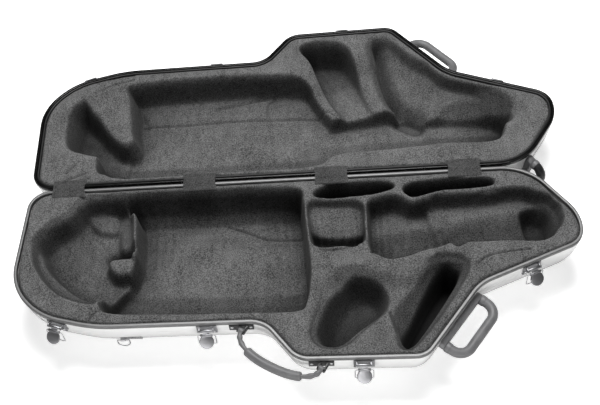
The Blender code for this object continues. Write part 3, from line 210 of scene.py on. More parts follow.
# Camera and stage
CAMERA_PLACE = (0.10586, -1.17360, 1.77596)
CAMERA_TURN = (0.66218941, 0.06101348, -0.02083321)
CAMERA_LENS = 60
SENSOR_WIDTH = 36
KEY_LIGHT = {"place": (0.10, 0.76, 2.55), "target": (0.05, 0.15, 0.0), "size": (1.4, 1.2)}
FRONT_LIGHT = {"place": (0.0, -1.75, 0.17), "target": (0.0, 0.0, 0.10), "size": (2.8, 0.26)}
KEY_POWER = 84.0
FRONT_POWER = 20.0
MOST_POWER = 1000.0
AMBIENT = 0.11
MOST_AMBIENT = 2.0
FLOOR_REACH = 8.0
FLOOR_CORNERS = ((-1, -1), (1, -1), (1, 1), (-1, 1))
FLOOR_COLOUR = (0.90, 0.90, 0.90)
FLOOR_ROUGHNESS = 0.9
FLOOR_SPECULAR = 0.1
FLOOR_GLOW = 0.55
WHITE = (1.0, 1.0, 1.0, 1.0)

# Limits of the settings in the sidebar
LEAST_STEP = 0.001
MOST_STEP = 0.020
MOST_WAVE = 0.005
LEAST_LIP = 0.001
MOST_LIP = 0.020

# Colours and finishes. The grain and the pebble are scales per metre
SHELL_COLOUR = (0.88, 0.88, 0.875)
# The darkest pile tone is also the colour that the painted shade in the hollows of the linings runs to
PLUSH_SHADE = (0.008, 0.008, 0.008)
PLUSH_LIGHT = (0.215, 0.215, 0.215)
LATCH_COLOUR = (0.30, 0.30, 0.31)
HANDLE_COLOUR = (0.170, 0.170, 0.174)
RIM_ALLOY = {"colour": (0.22, 0.22, 0.22), "roughness": 0.52, "grain": 900.0}
LATCH_STEEL = {"roughness": 0.36, "grain": 1100.0}
BRIGHT_STEEL = {"colour": (0.62, 0.62, 0.63), "roughness": 0.28, "grain": 1200.0}
BLACK_CHANNEL = {"colour": (0.003, 0.003, 0.003), "roughness": 0.20, "pebble": 900.0, "specular": 0.34}
SOFT_SEAL = {"colour": (0.006, 0.006, 0.006), "roughness": 0.50, "pebble": 1400.0, "specular": 0.45}
HANDLE_RUBBER = {"roughness": 0.46, "pebble": 1500.0, "specular": 0.45}
BLACK_MOULDING = {"colour": (0.018, 0.018, 0.019), "roughness": 0.42, "pebble": 1300.0, "specular": 0.45}
TAB_SHADE = 0.50

# Noises as scale and detail, bumps as strength and height, tones as a range of the noise and what it becomes
CLOUD_TONES = (0.3, 0.7, 0.0, 1.0)
SHELL_ROUGHNESS = 0.16
SHELL_COAT = 0.6
SHELL_COAT_ROUGHNESS = 0.06
SHELL_CLOUD = (9.0, 3.0)
SHELL_SHADE = 0.965
SHELL_RIPPLE = (130.0, 1.0)
SHELL_BUMP = (0.05, 0.0006)
METAL_CLOUD = (70.0, 4.0)
METAL_DETAIL = 3.0
METAL_CLOUD_TONES = (0.3, 0.7, 0.6, 1.0)
METAL_GRAIN_TONES = (0.2, 0.8, 0.75, 1.0)
METAL_GLOSS_RANGE = (0.2, 0.8)
METAL_DULLER = 0.10
METAL_GLOSSIER = 0.06
METAL_SHADE = 0.62
METAL_BUMP = (0.25, 0.0002)
MOULDED_CLOUD = (45.0, 4.0)
MOULDED_TONES = (0.3, 0.72, 0.0, 1.0)
MOULDED_GLOSS_RANGE = (0.3, 0.7)
MOULDED_DULLER = 0.08
MOULDED_GLOSSIER = 0.07
MOULDED_SHADE = 0.72
MOULDED_DETAIL = 2.0
MOULDED_BUMP = (0.30, 0.0003)
PILE_ROUGHNESS = 0.95
PILE_SPECULAR = 0.06
PILE_SHEEN = 0.10
PILE_SHEEN_ROUGHNESS = 0.50
PILE_SHEEN_TINT = (0.50, 0.50, 0.49, 1.0)
PILE_PATCH = (14.0, 4.0)
PILE_PATCH_TONES = (0.32, 0.68, 0.42, 0.60)
PILE_STROKE = (75.0, 3.0)
PILE_STROKE_STRETCH = (1.0, 0.35, 1.0)
PILE_STROKE_TONES = (0.3, 0.7, -0.08, 0.08)
PILE_SPECK = (460.0, 3.0)
PILE_SPECK_TONES = (0.35, 0.65, -0.34, 0.34)
PILE_LAY = (90.0, 3.0)
PILE_LAY_BUMP = (0.25, 0.0012)
PILE_GRAIN = (330.0, 3.0)
PILE_GRAIN_BUMP = (0.60, 0.0011)


class CaseSizes(bpy.types.PropertyGroup):
    """Sizes of the linings that a user would change."""

    grid_step: bpy.props.FloatProperty(
        name="Lining mesh step", description="Distance between two points of the lining meshes",
        default=GRID_STEP, min=LEAST_STEP, max=MOST_STEP, subtype="DISTANCE", unit="LENGTH",
    )
    foam_wave: bpy.props.FloatProperty(
        name="Foam wave", description="Height of the soft waves in the plush",
        default=FOAM_WAVE, min=0.0, max=MOST_WAVE, subtype="DISTANCE", unit="LENGTH",
    )
    lip: bpy.props.FloatProperty(
        name="Compartment lip", description="Rounding where a compartment meets the top of the lining",
        default=LIP, min=LEAST_LIP, max=MOST_LIP, subtype="DISTANCE", unit="LENGTH",
    )


class CaseFinish(bpy.types.PropertyGroup):
    """Colours of the case."""

    shell: bpy.props.FloatVectorProperty(
        name="Shell", description="Colour of the glossy shells",
        default=SHELL_COLOUR, min=0.0, max=1.0, size=3, subtype="COLOR",
    )
    # Also the colour that the painted shade in the hollows of the linings runs to
    plush_dark: bpy.props.FloatVectorProperty(
        name="Plush shade", description="Colour of the pile where it leans away",
        default=PLUSH_SHADE, min=0.0, max=1.0, size=3, subtype="COLOR",
    )
    plush_light: bpy.props.FloatVectorProperty(
        name="Plush light", description="Colour of the pile where it stands up",
        default=PLUSH_LIGHT, min=0.0, max=1.0, size=3, subtype="COLOR",
    )
    metal: bpy.props.FloatVectorProperty(
        name="Latch metal", description="Colour of the latches and brackets",
        default=LATCH_COLOUR, min=0.0, max=1.0, size=3, subtype="COLOR",
    )
    handle: bpy.props.FloatVectorProperty(
        name="Handles", description="Colour of the rubber handles",
        default=HANDLE_COLOUR, min=0.0, max=1.0, size=3, subtype="COLOR",
    )


class StageSettings(bpy.types.PropertyGroup):
    """Light and floor."""

    key_power: bpy.props.FloatProperty(
        name="Key light", description="Power of the large soft light behind the case",
        default=KEY_POWER, min=0.0, max=MOST_POWER, unit="POWER",
    )
    fill_power: bpy.props.FloatProperty(
        name="Front light", description="Power of the low strip of light in front of the case",
        default=FRONT_POWER, min=0.0, max=MOST_POWER, unit="POWER",
    )
    ambient: bpy.props.FloatProperty(
        name="Ambient", description="Strength of the even light from all around",
        default=AMBIENT, min=0.0, max=MOST_AMBIENT,
    )


def plan_point(share):
    """Turn shares of the length and width into (x, span)."""
    return Vector((share[0] * CASE_LENGTH, SPINE_STANDOFF + share[1] * HALF_WIDTH))


def world_point(point, drop, side):
    """Put a plan point of one half into the world, a drop below the rim plane."""
    return Vector((point[0], HINGE_Y + side * point[1], HALF_DEPTH - drop))


def inset_corners(corners, insets):
    """Move each edge of a polygon inward by its own inset and return the new corners."""
    count = len(corners)
    lines = []
    for index in range(count):
        start = corners[index]
        along = (corners[(index + 1) % count] - start).normalized()
        inward = Vector((along[1], -along[0]))
        lines.append((start + inward * insets[index], along))
    moved = []
    for index in range(count):
        first_point, first_way = lines[index - 1]
        next_point, next_way = lines[index]
        across = first_way[0] * next_way[1] - first_way[1] * next_way[0]
        offset = next_point - first_point
        reach = (offset[0] * next_way[1] - offset[1] * next_way[0]) / across
        moved.append(first_point + first_way * reach)
    return moved


def rounded(corners, radii):
    """Round the corners of a polygon, each with its own number of steps."""
    count = len(corners)
    points = []
    for index in range(count):
        corner = corners[index]
        back = (corners[index - 1] - corner).normalized()
        ahead = (corners[(index + 1) % count] - corner).normalized()
        half_angle = back.angle(ahead) * HALF
        reach = radii[index] / math.tan(half_angle)
        centre = corner + (back + ahead).normalized() * (radii[index] / math.sin(half_angle))
        start = corner + back * reach - centre
        turn = start.angle_signed(corner + ahead * reach - centre)
        steps = CORNER_STEPS[index] * FINENESS
        for step in range(steps + 1):
            angle = -turn * step / steps
            swung = Vector((
                start[0] * math.cos(angle) - start[1] * math.sin(angle),
                start[0] * math.sin(angle) + start[1] * math.cos(angle),
            ))
            points.append(centre + swung)
    return points


def bends_inward(corners, index):
    """Tell whether the outline turns toward the inside of the case at a corner."""
    along = corners[index] - corners[index - 1]
    ahead = corners[(index + 1) % len(corners)] - corners[index]
    return along[0] * ahead[1] - along[1] * ahead[0] > 0


def rim_outline(inset):
    """Outline of a half at the rim, moved inward by an inset."""
    corners = [plan_point(share) for share in CORNER_SHARES]
    radii = []
    for index, share in enumerate(RIM_RADIUS_SHARES):
        change = inset if bends_inward(corners, index) else -inset
        radii.append(share * HALF_WIDTH + change)
    return rounded(inset_corners(corners, [inset] * len(corners)), radii)


def floor_outline():
    """Outline of the flat floor of a half."""
    corners = [plan_point(share) for share in CORNER_SHARES]
    insets = [share * HALF_WIDTH for share in RUN_IN_SHARES]
    radii = [share * HALF_WIDTH for share in FLOOR_RADIUS_SHARES]
    return rounded(inset_corners(corners, insets), radii)


def wall_row(inset, angle):
    """One level of the bulged wall: its plan outline and its drop below the rim plane."""
    share = 1 - math.cos(angle)
    points = [outer.lerp(inner, share) for outer, inner in zip(rim_outline(inset), floor_outline())]
    drop = SKIRT_DEPTH + (HALF_DEPTH - SKIRT_DEPTH - inset) * math.sin(angle)
    return points, drop


def wall_levels(inset):
    """All levels of the bulged wall below the skirt, as plan outlines with their drops."""
    return [wall_row(inset, math.pi * HALF * (step + 1) / WALL_STEPS) for step in range(WALL_STEPS)]


def placed(points, drop, side):
    """A plan outline put into the world at one drop."""
    return [world_point(point, drop, side) for point in points]


def between(points, index, along):
    """Point on one stretch of a closed outline."""
    return points[index % len(points)].lerp(points[(index + 1) % len(points)], along)


def find_on_rim(share):
    """Nearest place on the rim outline to a plan point: index of the stretch and share along it."""
    target = plan_point(share)
    outline = rim_outline(0)
    best = None
    for index, start in enumerate(outline):
        way = outline[(index + 1) % len(outline)] - start
        along = max(0, min(1, (target - start).dot(way) / way.length_squared))
        distance = (start + way * along - target).length
        if best is None or distance < best[0]:
            best = (distance, index, along)
    return best[1], best[2]


def outward_at(points, index, along):
    """Smooth outward direction of an outline in plan."""
    count = len(points)
    first = points[(index + 1) % count] - points[index - 1]
    second = points[(index + 2) % count] - points[index]
    way = first.normalized().lerp(second.normalized(), along).normalized()
    return Vector((-way[1], way[0]))


def frame_matrix(place, out, up):
    """Matrix of a frame from its place, its Y axis and its Z axis."""
    along = out.cross(up)
    turn = Matrix((along, out, up)).transposed().to_4x4()
    return Matrix.Translation(place) @ turn


def rim_frame(share, side):
    """Frame on the rim plane at the outside of the shell: X along the rim, Y outward, Z up."""
    index, along = find_on_rim(share)
    outline = rim_outline(0)
    outward = outward_at(outline, index, along)
    out = Vector((outward[0], side * outward[1], 0))
    return frame_matrix(world_point(between(outline, index, along), 0, side), out, Vector((0, 0, 1)))


def wall_frame(share, drop, side):
    """Frame on the bulged wall at a drop: X along the wall, Y straight off it, Z up the wall."""
    index, along = find_on_rim(share)
    angle = math.asin((drop - SKIRT_DEPTH) / (HALF_DEPTH - SKIRT_DEPTH))
    points, level = wall_row(0, angle)
    outward = outward_at(points, index, along)
    out = Vector((outward[0], side * outward[1], 0))
    run_in = (between(rim_outline(0), index, along) - between(floor_outline(), index, along)).length
    slope = math.atan2(run_in * math.sin(angle), (HALF_DEPTH - SKIRT_DEPTH) * math.cos(angle))
    up = Vector((0, 0, math.cos(slope))) + out * math.sin(slope)
    straight = out * math.cos(slope) - Vector((0, 0, math.sin(slope)))
    return frame_matrix(world_point(between(points, index, along), level, side), straight, up)


def loft(name, rows, cap_first=False, cap_last=False, join_ends=False):
    """Skin a list of closed rows of points and turn every face outward."""
    count = len(rows[0])
    vertices = [point for row in rows for point in row]
    pairs = [(row, row + 1) for row in range(len(rows) - 1)]
    if join_ends:
        pairs.append((len(rows) - 1, 0))
    faces = []
    for low, high in pairs:
        for index in range(count):
            after = (index + 1) % count
            lower = (low * count + index, low * count + after)
            upper = (high * count + after, high * count + index)
            faces.append(lower + upper)
    if cap_first:
        faces.append(tuple(range(count)))
    if cap_last:
        last = (len(rows) - 1) * count
        faces.append(tuple(range(last, last + count)))
    mesh = bpy.data.meshes.new(name)
    mesh.from_pydata(vertices, [], faces)
    turn_outward(mesh)
    return mesh


def turn_outward(mesh):
    """Recalculate the normals of a closed mesh."""
    shape = bmesh.new()
    shape.from_mesh(mesh)
    bmesh.ops.recalc_face_normals(shape, faces=shape.faces)
    shape.to_mesh(mesh)
    shape.free()


def shade_round(mesh, sharp_angle=SHARP_ANGLE):
    """Shade a mesh smooth but keep its sharp edges."""
    shape = bmesh.new()
    shape.from_mesh(mesh)
    for face in shape.faces:
        face.smooth = True
    for edge in shape.edges:
        edge.smooth = edge.is_manifold and edge.calc_face_angle() < sharp_angle
    shape.to_mesh(mesh)
    shape.free()


def add_piece(name, mesh, material, body):
    """Link a finished mesh as a piece that rides on a body."""
    mesh.name = name
    mesh.materials.clear()
    mesh.materials.append(material)
    piece = bpy.data.objects.new(name, mesh)
    bpy.context.scene.collection.objects.link(piece)
    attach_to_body(piece, body)
    return piece


def finish_of(name):
    """The finish of that name, which the materials operator made."""
    return bpy.data.materials[name]


def finished_mesh(name, mesh, build_modifiers):
    """Apply modifiers to a mesh through a helper object and return the plain result."""
    helper = bpy.data.objects.new(name, mesh)
    bpy.context.scene.collection.objects.link(helper)
    build_modifiers(helper)
    evaluated = helper.evaluated_get(bpy.context.evaluated_depsgraph_get())
    result = bpy.data.meshes.new_from_object(evaluated)
    bpy.data.objects.remove(helper, do_unlink=True)
    return result


def block_mesh(name, low, high):
    """A box between two corners."""
    shape = bmesh.new()
    bmesh.ops.create_cube(shape, size=1)
    for vertex in shape.verts:
        for axis in range(len(vertex.co)):
            vertex.co[axis] = high[axis] if vertex.co[axis] > 0 else low[axis]
    mesh = bpy.data.meshes.new(name)
    shape.to_mesh(mesh)
    shape.free()
    return mesh


def swept(name, path, sections, normal):
    """Run sections along a path in a plane. Each section point is (across, along the plane's normal)."""
    rows = []
    for index, centre in enumerate(path):
        before = path[max(index - 1, 0)]
        after = path[min(index + 1, len(path) - 1)]
        across = normal.cross((after - before).normalized())
        rows.append([centre + across * point[0] + normal * point[1] for point in sections[index]])
    return loft(name, rows, cap_first=True, cap_last=True)


def circle_section(radius, sides):
    """Points of a round section."""
    turns = [math.tau * side / sides for side in range(sides)]
    return [(radius * math.cos(turn), radius * math.sin(turn)) for turn in turns]


# Materials


def new_material(name, roughness, metallic=0.0):
    """An empty material with its shader, its node tree and an object coordinate node."""
    material = bpy.data.materials.new(name)
    material.use_nodes = True
    tree = material.node_tree
    shader = tree.nodes["Principled BSDF"]
    shader.inputs["Roughness"].default_value = roughness
    shader.inputs["Metallic"].default_value = metallic
    coordinates = tree.nodes.new("ShaderNodeTexCoord")
    return material, tree, shader, coordinates


def add_noise(tree, coordinates, scale, detail, stretch=None):
    """A noise texture on object coordinates."""
    noise = tree.nodes.new("ShaderNodeTexNoise")
    noise.inputs["Scale"].default_value = scale
    noise.inputs["Detail"].default_value = detail
    source = coordinates.outputs["Object"]
    if stretch is not None:
        mapping = tree.nodes.new("ShaderNodeMapping")
        mapping.inputs["Scale"].default_value = stretch
        tree.links.new(source, mapping.inputs["Vector"])
        source = mapping.outputs["Vector"]
    tree.links.new(source, noise.inputs["Vector"])
    return noise.outputs["Fac"]


def add_range(tree, value, low, high, to_low, to_high):
    """Map a value from one range to another."""
    node = tree.nodes.new("ShaderNodeMapRange")
    node.inputs["From Min"].default_value = low
    node.inputs["From Max"].default_value = high
    node.inputs["To Min"].default_value = to_low
    node.inputs["To Max"].default_value = to_high
    tree.links.new(value, node.inputs["Value"])
    return node.outputs["Result"]


def add_math(tree, operation, first, second):
    """A math node of two values."""
    node = tree.nodes.new("ShaderNodeMath")
    node.operation = operation
    for socket, value in zip(node.inputs, (first, second)):
        if isinstance(value, float):
            socket.default_value = value
        else:
            tree.links.new(value, socket)
    return node.outputs["Value"]


def add_mix(tree, factor, first, second):
    """A colour mix of two colours."""
    node = tree.nodes.new("ShaderNodeMix")
    node.data_type = "RGBA"
    tree.links.new(factor, node.inputs["Factor"])
    colours = [socket for socket in node.inputs if socket.type == "RGBA"]
    for socket, colour in zip(colours, (first, second)):
        if isinstance(colour, tuple):
            socket.default_value = (*colour, 1.0)
        else:
            tree.links.new(colour, socket)
    return [socket for socket in node.outputs if socket.type == "RGBA"][0]


def add_bump(tree, height, strength, distance, below=None):
    """A bump node, on top of another one if given."""
    node = tree.nodes.new("ShaderNodeBump")
    node.inputs["Strength"].default_value = strength
    node.inputs["Distance"].default_value = distance
    tree.links.new(height, node.inputs["Height"])
    if below is not None:
        tree.links.new(below, node.inputs["Normal"])
    return node.outputs["Normal"]


def darker(colour, share):
    """A colour at a share of its brightness."""
    return tuple(channel * share for channel in colour)


def make_shell_gloss(colour):
    """Glossy moulded shell with a faint ripple."""
    material, tree, shader, coordinates = new_material("shell_gloss", SHELL_ROUGHNESS)
    shader.inputs["Coat Weight"].default_value = SHELL_COAT
    shader.inputs["Coat Roughness"].default_value = SHELL_COAT_ROUGHNESS
    tone = add_range(tree, add_noise(tree, coordinates, *SHELL_CLOUD), *CLOUD_TONES)
    mixed = add_mix(tree, tone, darker(colour, SHELL_SHADE), tuple(colour))
    tree.links.new(mixed, shader.inputs["Base Color"])
    ripple = add_noise(tree, coordinates, *SHELL_RIPPLE)
    tree.links.new(add_bump(tree, ripple, *SHELL_BUMP), shader.inputs["Normal"])
    return material


def make_metal(name, colour, roughness, grain):
    """Worn metal: a fine grain, cloudy tarnish and a changing gloss."""
    material, tree, shader, coordinates = new_material(name, roughness, 1.0)
    cloud = add_range(tree, add_noise(tree, coordinates, *METAL_CLOUD), *METAL_CLOUD_TONES)
    fine = add_noise(tree, coordinates, grain, METAL_DETAIL)
    tone = add_math(tree, "MULTIPLY", cloud, add_range(tree, fine, *METAL_GRAIN_TONES))
    mixed = add_mix(tree, tone, darker(colour, METAL_SHADE), tuple(colour))
    tree.links.new(mixed, shader.inputs["Base Color"])
    gloss = add_range(tree, fine, *METAL_GLOSS_RANGE, roughness + METAL_DULLER, roughness - METAL_GLOSSIER)
    tree.links.new(gloss, shader.inputs["Roughness"])
    tree.links.new(add_bump(tree, fine, *METAL_BUMP), shader.inputs["Normal"])
    return material


def make_moulded(name, colour, roughness, pebble, specular):
    """Moulded plastic or rubber with a pebbled skin and faint rubbing marks."""
    material, tree, shader, coordinates = new_material(name, roughness)
    shader.inputs["Specular IOR Level"].default_value = specular
    cloud = add_noise(tree, coordinates, *MOULDED_CLOUD)
    tone = add_range(tree, cloud, *MOULDED_TONES)
    mixed = add_mix(tree, tone, darker(colour, MOULDED_SHADE), tuple(colour))
    tree.links.new(mixed, shader.inputs["Base Color"])
    low, high = roughness - MOULDED_GLOSSIER, roughness + MOULDED_DULLER
    gloss = add_range(tree, cloud, *MOULDED_GLOSS_RANGE, low, high)
    tree.links.new(gloss, shader.inputs["Roughness"])
    skin = add_noise(tree, coordinates, pebble, MOULDED_DETAIL)
    tree.links.new(add_bump(tree, skin, *MOULDED_BUMP), shader.inputs["Normal"])
    return material


def make_plush(name, shade, light, paints_hollow_shade):
    """Short pile: patches that lean different ways over a coarse speckle and, where asked, painted shade that
    darkens it where little sky is seen.
    """
    material, tree, shader, coordinates = new_material(name, PILE_ROUGHNESS)
    shader.inputs["Specular IOR Level"].default_value = PILE_SPECULAR
    shader.inputs["Sheen Weight"].default_value = PILE_SHEEN
    shader.inputs["Sheen Roughness"].default_value = PILE_SHEEN_ROUGHNESS
    shader.inputs["Sheen Tint"].default_value = PILE_SHEEN_TINT
    patch = add_range(tree, add_noise(tree, coordinates, *PILE_PATCH), *PILE_PATCH_TONES)
    leaning = add_noise(tree, coordinates, *PILE_STROKE, PILE_STROKE_STRETCH)
    stroke = add_range(tree, leaning, *PILE_STROKE_TONES)
    speck = add_range(tree, add_noise(tree, coordinates, *PILE_SPECK), *PILE_SPECK_TONES)
    tone = add_math(tree, "ADD", add_math(tree, "ADD", patch, stroke), speck)
    # Painted shade: the pile colour runs toward the dark colour where the lining sees little sky
    if paints_hollow_shade:
        sky = tree.nodes.new("ShaderNodeAttribute")
        sky.attribute_name = SKY_NAME
        open_share = add_range(tree, sky.outputs["Fac"], SKY_CLOSED, SKY_OPEN, 0.0, 1.0)
        tone = add_math(tree, "MULTIPLY", tone, add_math(tree, "POWER", open_share, SKY_POWER))
    tree.links.new(add_mix(tree, tone, tuple(shade), tuple(light)), shader.inputs["Base Color"])
    lay = add_bump(tree, add_noise(tree, coordinates, *PILE_LAY), *PILE_LAY_BUMP)
    pile = add_bump(tree, add_noise(tree, coordinates, *PILE_GRAIN), *PILE_GRAIN_BUMP, lay)
    tree.links.new(pile, shader.inputs["Normal"])
    return material


# Height field of a lining


def measure(px, py, points, closed):
    """Distance from many plan points to a line of points, negative inside a closed one."""
    best = np.full(px.shape, np.inf)
    inside = np.zeros(px.shape, dtype=bool)
    count = len(points)
    for index in range(count if closed else count - 1):
        start = points[index]
        end = points[(index + 1) % count]
        way_x, way_y = end[0] - start[0], end[1] - start[1]
        length = way_x * way_x + way_y * way_y
        if not length:
            continue
        along = np.clip(((px - start[0]) * way_x + (py - start[1]) * way_y) / length, 0, 1)
        gap = (px - start[0] - along * way_x) ** 2 + (py - start[1] - along * way_y) ** 2
        np.minimum(best, gap, out=best)
        if closed and way_y:
            crosses = (start[1] > py) != (end[1] > py)
            inside ^= crosses & (px < start[0] + (py - start[1]) * way_x / way_y)
    return np.where(inside, -np.sqrt(best), np.sqrt(best))


def smooth_line(shares, closed):
    """Curve through points given as shares of the length and width."""
    points = [plan_point(share) for share in shares]
    count = len(points)
    curve = []
    for index in range(count if closed else count - 1):
        if closed:
            one, two, three, four = (points[(index + shift) % count] for shift in (-1, 0, 1, 2))
        else:
            one, two = points[max(index - 1, 0)], points[index]
            three, four = points[index + 1], points[min(index + 2, count - 1)]
        for step in range(LOOP_STEPS):
            part = step / LOOP_STEPS
            line = (three - one) * part
            bend = (one * 2 - two * 5 + three * 4 - four) * part ** 2
            twist = (two * 3 - one - three * 3 + four) * part ** 3
            curve.append((two * 2 + line + bend + twist) * HALF)
    if not closed:
        curve.append(points[-1])
    return curve


def blurred(field, spread):
    """Soften a grid by a bell-shaped blur whose spread is in steps of the grid."""
    reach = max(1, math.ceil(spread * BLUR_REACH))
    weights = np.exp(-HALF * (np.arange(-reach, reach + 1) / spread) ** 2)
    weights /= weights.sum()
    for axis in (0, 1):
        padding = [(reach, reach) if axis == other else (0, 0) for other in (0, 1)]
        padded = np.pad(field, padding, mode="edge")
        size = field.shape[axis]
        total = np.zeros_like(field)
        for index, weight in enumerate(weights):
            part = [slice(None), slice(None)]
            part[axis] = slice(index, index + size)
            total += weight * padded[tuple(part)]
        field = total
    return field


class Lining:
    """Height field of one lining: a drop below the rim plane for each point of its plan."""

    def __init__(self, side, step, lip):
        self.side = side
        self.step = step
        self.lip = lip
        xs = np.arange(GRID_LOW, GRID_HIGH, step)
        spans = np.arange(0, GRID_FAR, step)
        self.x, self.span = np.meshgrid(xs, spans, indexing="ij")
        self.drop = np.full(self.x.shape, LINING_TOP)
        outline = rim_outline(0)
        self.inset = -measure(self.x, self.span, outline, True)

    def distance(self, shares, reach, closed=True):
        """Distance to a curve, worked out only near it."""
        points = smooth_line(shares, closed)
        low_x = min(point[0] for point in points) - reach
        high_x = max(point[0] for point in points) + reach
        low_span = min(point[1] for point in points) - reach
        high_span = max(point[1] for point in points) + reach
        near = (self.x > low_x) & (self.x < high_x) & (self.span > low_span) & (self.span < high_span)
        gap = np.full(self.x.shape, reach)
        gap[near] = measure(self.x[near], self.span[near], points, closed)
        return gap

    def sink(self, shares, floor, run, top=LINING_TOP, lip=None, power=WALL_POWER):
        """Press a compartment down to a floor. Its wall starts a lip below the top and runs in by the run."""
        lip = lip or self.lip
        gap = self.distance(shares, lip)
        inward = np.clip(-gap / run, 0, 1)
        wall = top + lip + (floor - top - lip) * (1 - (1 - inward) ** power)
        outward = np.clip((lip - gap) / lip, 0, 1)
        roll = top + lip * (1 - np.sqrt(1 - outward ** 2))
        sunk = np.where(gap < 0, wall, roll)
        self.drop = np.where(gap < lip, np.maximum(self.drop, sunk), self.drop)

    def raise_up(self, shares, level, run, lip=None, power=RAISED_POWER, far=RAISED_FAR):
        """Let a form stand up out of a compartment to a level. Its side falls by far over the run."""
        lip = lip or self.lip
        gap = self.distance(shares, run)
        inward = np.clip((gap + lip) / lip, 0, 1)
        top = level + lip * (1 - np.sqrt(1 - inward ** 2))
        outward = np.clip(gap / run, 0, 1)
        slope = level + lip + far * (1 - (1 - outward) ** power)
        raised = np.where(gap < 0, top, slope)
        self.drop = np.where(gap < run, np.minimum(self.drop, raised), self.drop)

    def plane(self, shares, drops):
        """Drop that changes evenly from one plan point to another."""
        first, last = (plan_point(share) for share in shares)
        way = last - first
        along = ((self.x - first[0]) * way[0] + (self.span - first[1]) * way[1]) / way.length_squared
        return drops[0] + (drops[1] - drops[0]) * np.clip(along, 0, 1)

    def hollow(self, shares, depth, run):
        """Press a soft hollow with no lip, which falls over the run."""
        inward = np.clip(-self.distance(shares, self.lip) / run, 0, 1)
        self.drop += depth * inward * inward * (3 - 2 * inward)

    def ridge(self, shares, height, width):
        """Raise a soft ridge along a line, or press a groove where the height is negative."""
        gap = self.distance(shares, width * RIDGE_REACH, closed=False)
        self.drop -= height * np.exp(-(gap / width) ** 2)

    def soften(self, spread=SOFTNESS):
        """Soften every edge as plush over foam does."""
        self.drop = blurred(self.drop, spread)

    def wave(self, height, seed):
        """Add the soft unevenness of foam under cloth."""
        random = np.random.default_rng(seed)
        for spread, share in FOAM_SPREADS:
            noise = blurred(random.standard_normal(self.drop.shape), spread)
            self.drop += height * share * noise / noise.std()

    def openness(self):
        """Share of the sky that each point sees, from how steeply the forms rise around it, with the ways
        toward the near side weighing more. The plush is darkened by it as painted shade.
        """
        total = np.zeros_like(self.drop)
        weights = 0
        reach = max(SKY_STEPS)
        padded = np.pad(self.drop, reach, mode="constant", constant_values=LINING_TOP)
        rows, columns = self.drop.shape
        for way_x, way_y in SKY_WAYS:
            steepest = np.zeros_like(self.drop)
            for steps in SKY_STEPS:
                start_x = reach + way_x * steps
                start_y = reach + way_y * steps
                there = padded[start_x:start_x + rows, start_y:start_y + columns]
                distance = steps * self.step * math.hypot(way_x, way_y)
                np.maximum(steepest, (self.drop - there) / distance, out=steepest)
            # Ways toward the near side count more, so the painted shade is deepest beside the near walls
            weight = NEAR_WEIGHT if way_y * self.side < 0 else 1
            total += weight / (1 + steepest ** 2)
            weights += weight
        return total / weights

    def close_edge(self):
        """Roll the edge down beside the rim and keep the compartments inside the shell."""
        skirt = HALF_DEPTH - SKIRT_DEPTH - LINING_BORDER
        run_in = max(RUN_IN_SHARES) * HALF_WIDTH
        inward = np.clip(1 - (self.inset - LINING_BORDER) / run_in, 0, 1)
        deepest = SKIRT_DEPTH + skirt * np.sqrt(1 - inward ** 2) - BORDER_SKIN
        self.drop = np.minimum(self.drop, np.maximum(deepest, LINING_TOP + EDGE_ROLL))
        self.drop = np.maximum(self.drop, LINING_TOP * HALF)
        edge = LINING_EDGES[self.side]
        inside = self.inset - edge
        bank = LINING_TOP + EDGE_ROLL + BANK_SLOPE * np.maximum(inside - BANK_WIDTH, 0)
        self.drop = np.minimum(self.drop, bank)
        outward = np.clip((EDGE_ROLL - inside) / EDGE_ROLL, 0, 1)
        roll = LINING_TOP + EDGE_ROLL * (1 - np.sqrt(1 - outward ** 2))
        beyond = np.clip(-inside / (edge - LINING_BORDER), 0, 1)
        fall = LINING_TOP + EDGE_ROLL + (BORDER_DROP - LINING_TOP - EDGE_ROLL) * beyond
        rolled = np.where(inside > 0, roll, fall)
        self.drop = np.where(inside < EDGE_ROLL, np.maximum(self.drop, rolled), self.drop)

    def top_mesh(self, name):
        """The pressed top, with the share of the sky that each of its points sees, which the plush turns into
        painted shade.
        """
        keep = self.inset > LINING_BORDER + self.step * HALF
        keep[0, :] = keep[-1, :] = keep[:, -1] = False
        cells = keep[:-1, :-1] & keep[1:, :-1] & keep[1:, 1:] & keep[:-1, 1:]
        used = np.zeros(self.x.shape, dtype=bool)
        for shift_x, shift_y in ((0, 0), (1, 0), (1, 1), (0, 1)):
            used[shift_x:cells.shape[0] + shift_x, shift_y:cells.shape[1] + shift_y] |= cells
        numbers = np.full(self.x.shape, -1)
        numbers[used] = np.arange(used.sum())
        vertices = np.column_stack((
            self.x[used], HINGE_Y + self.side * self.span[used], HALF_DEPTH - self.drop[used],
        ))
        near_side = [numbers[:-1, :-1][cells], numbers[1:, :-1][cells]]
        far_side = [numbers[1:, 1:][cells], numbers[:-1, 1:][cells]]
        mesh = bpy.data.meshes.new(name)
        mesh.from_pydata(vertices, [], np.column_stack(near_side + far_side))
        sky = mesh.attributes.new(SKY_NAME, "FLOAT", "POINT")
        sky.data.foreach_set("value", self.openness()[used].astype(np.float32))
        return mesh

    def close_below(self, shape):
        """Add the outer wall and the floor that rest in the shell."""
        loop = border_loop(shape)
        border = rim_outline(LINING_BORDER)
        levels = [(border, SKIRT_DEPTH + BORDER_DROP * HALF)] + wall_levels(LINING_BORDER)
        levels = [(points, drop) for points, drop in levels if drop > BORDER_DROP]
        places = []
        for vertex in loop:
            point = Vector((vertex.co[0], self.side * (vertex.co[1] - HINGE_Y)))
            index, along = nearest_on(border, point)
            places.append((index, along))
            vertex.co = world_point(between(border, index, along), BORDER_DROP, self.side)
        last = loop
        for points, drop in levels:
            row = [shape.verts.new(world_point(between(points, *place), drop, self.side)) for place in places]
            for index in range(len(row)):
                after = (index + 1) % len(row)
                shape.faces.new((last[index], last[after], row[after], row[index]))
            last = row
        shape.faces.new(last)

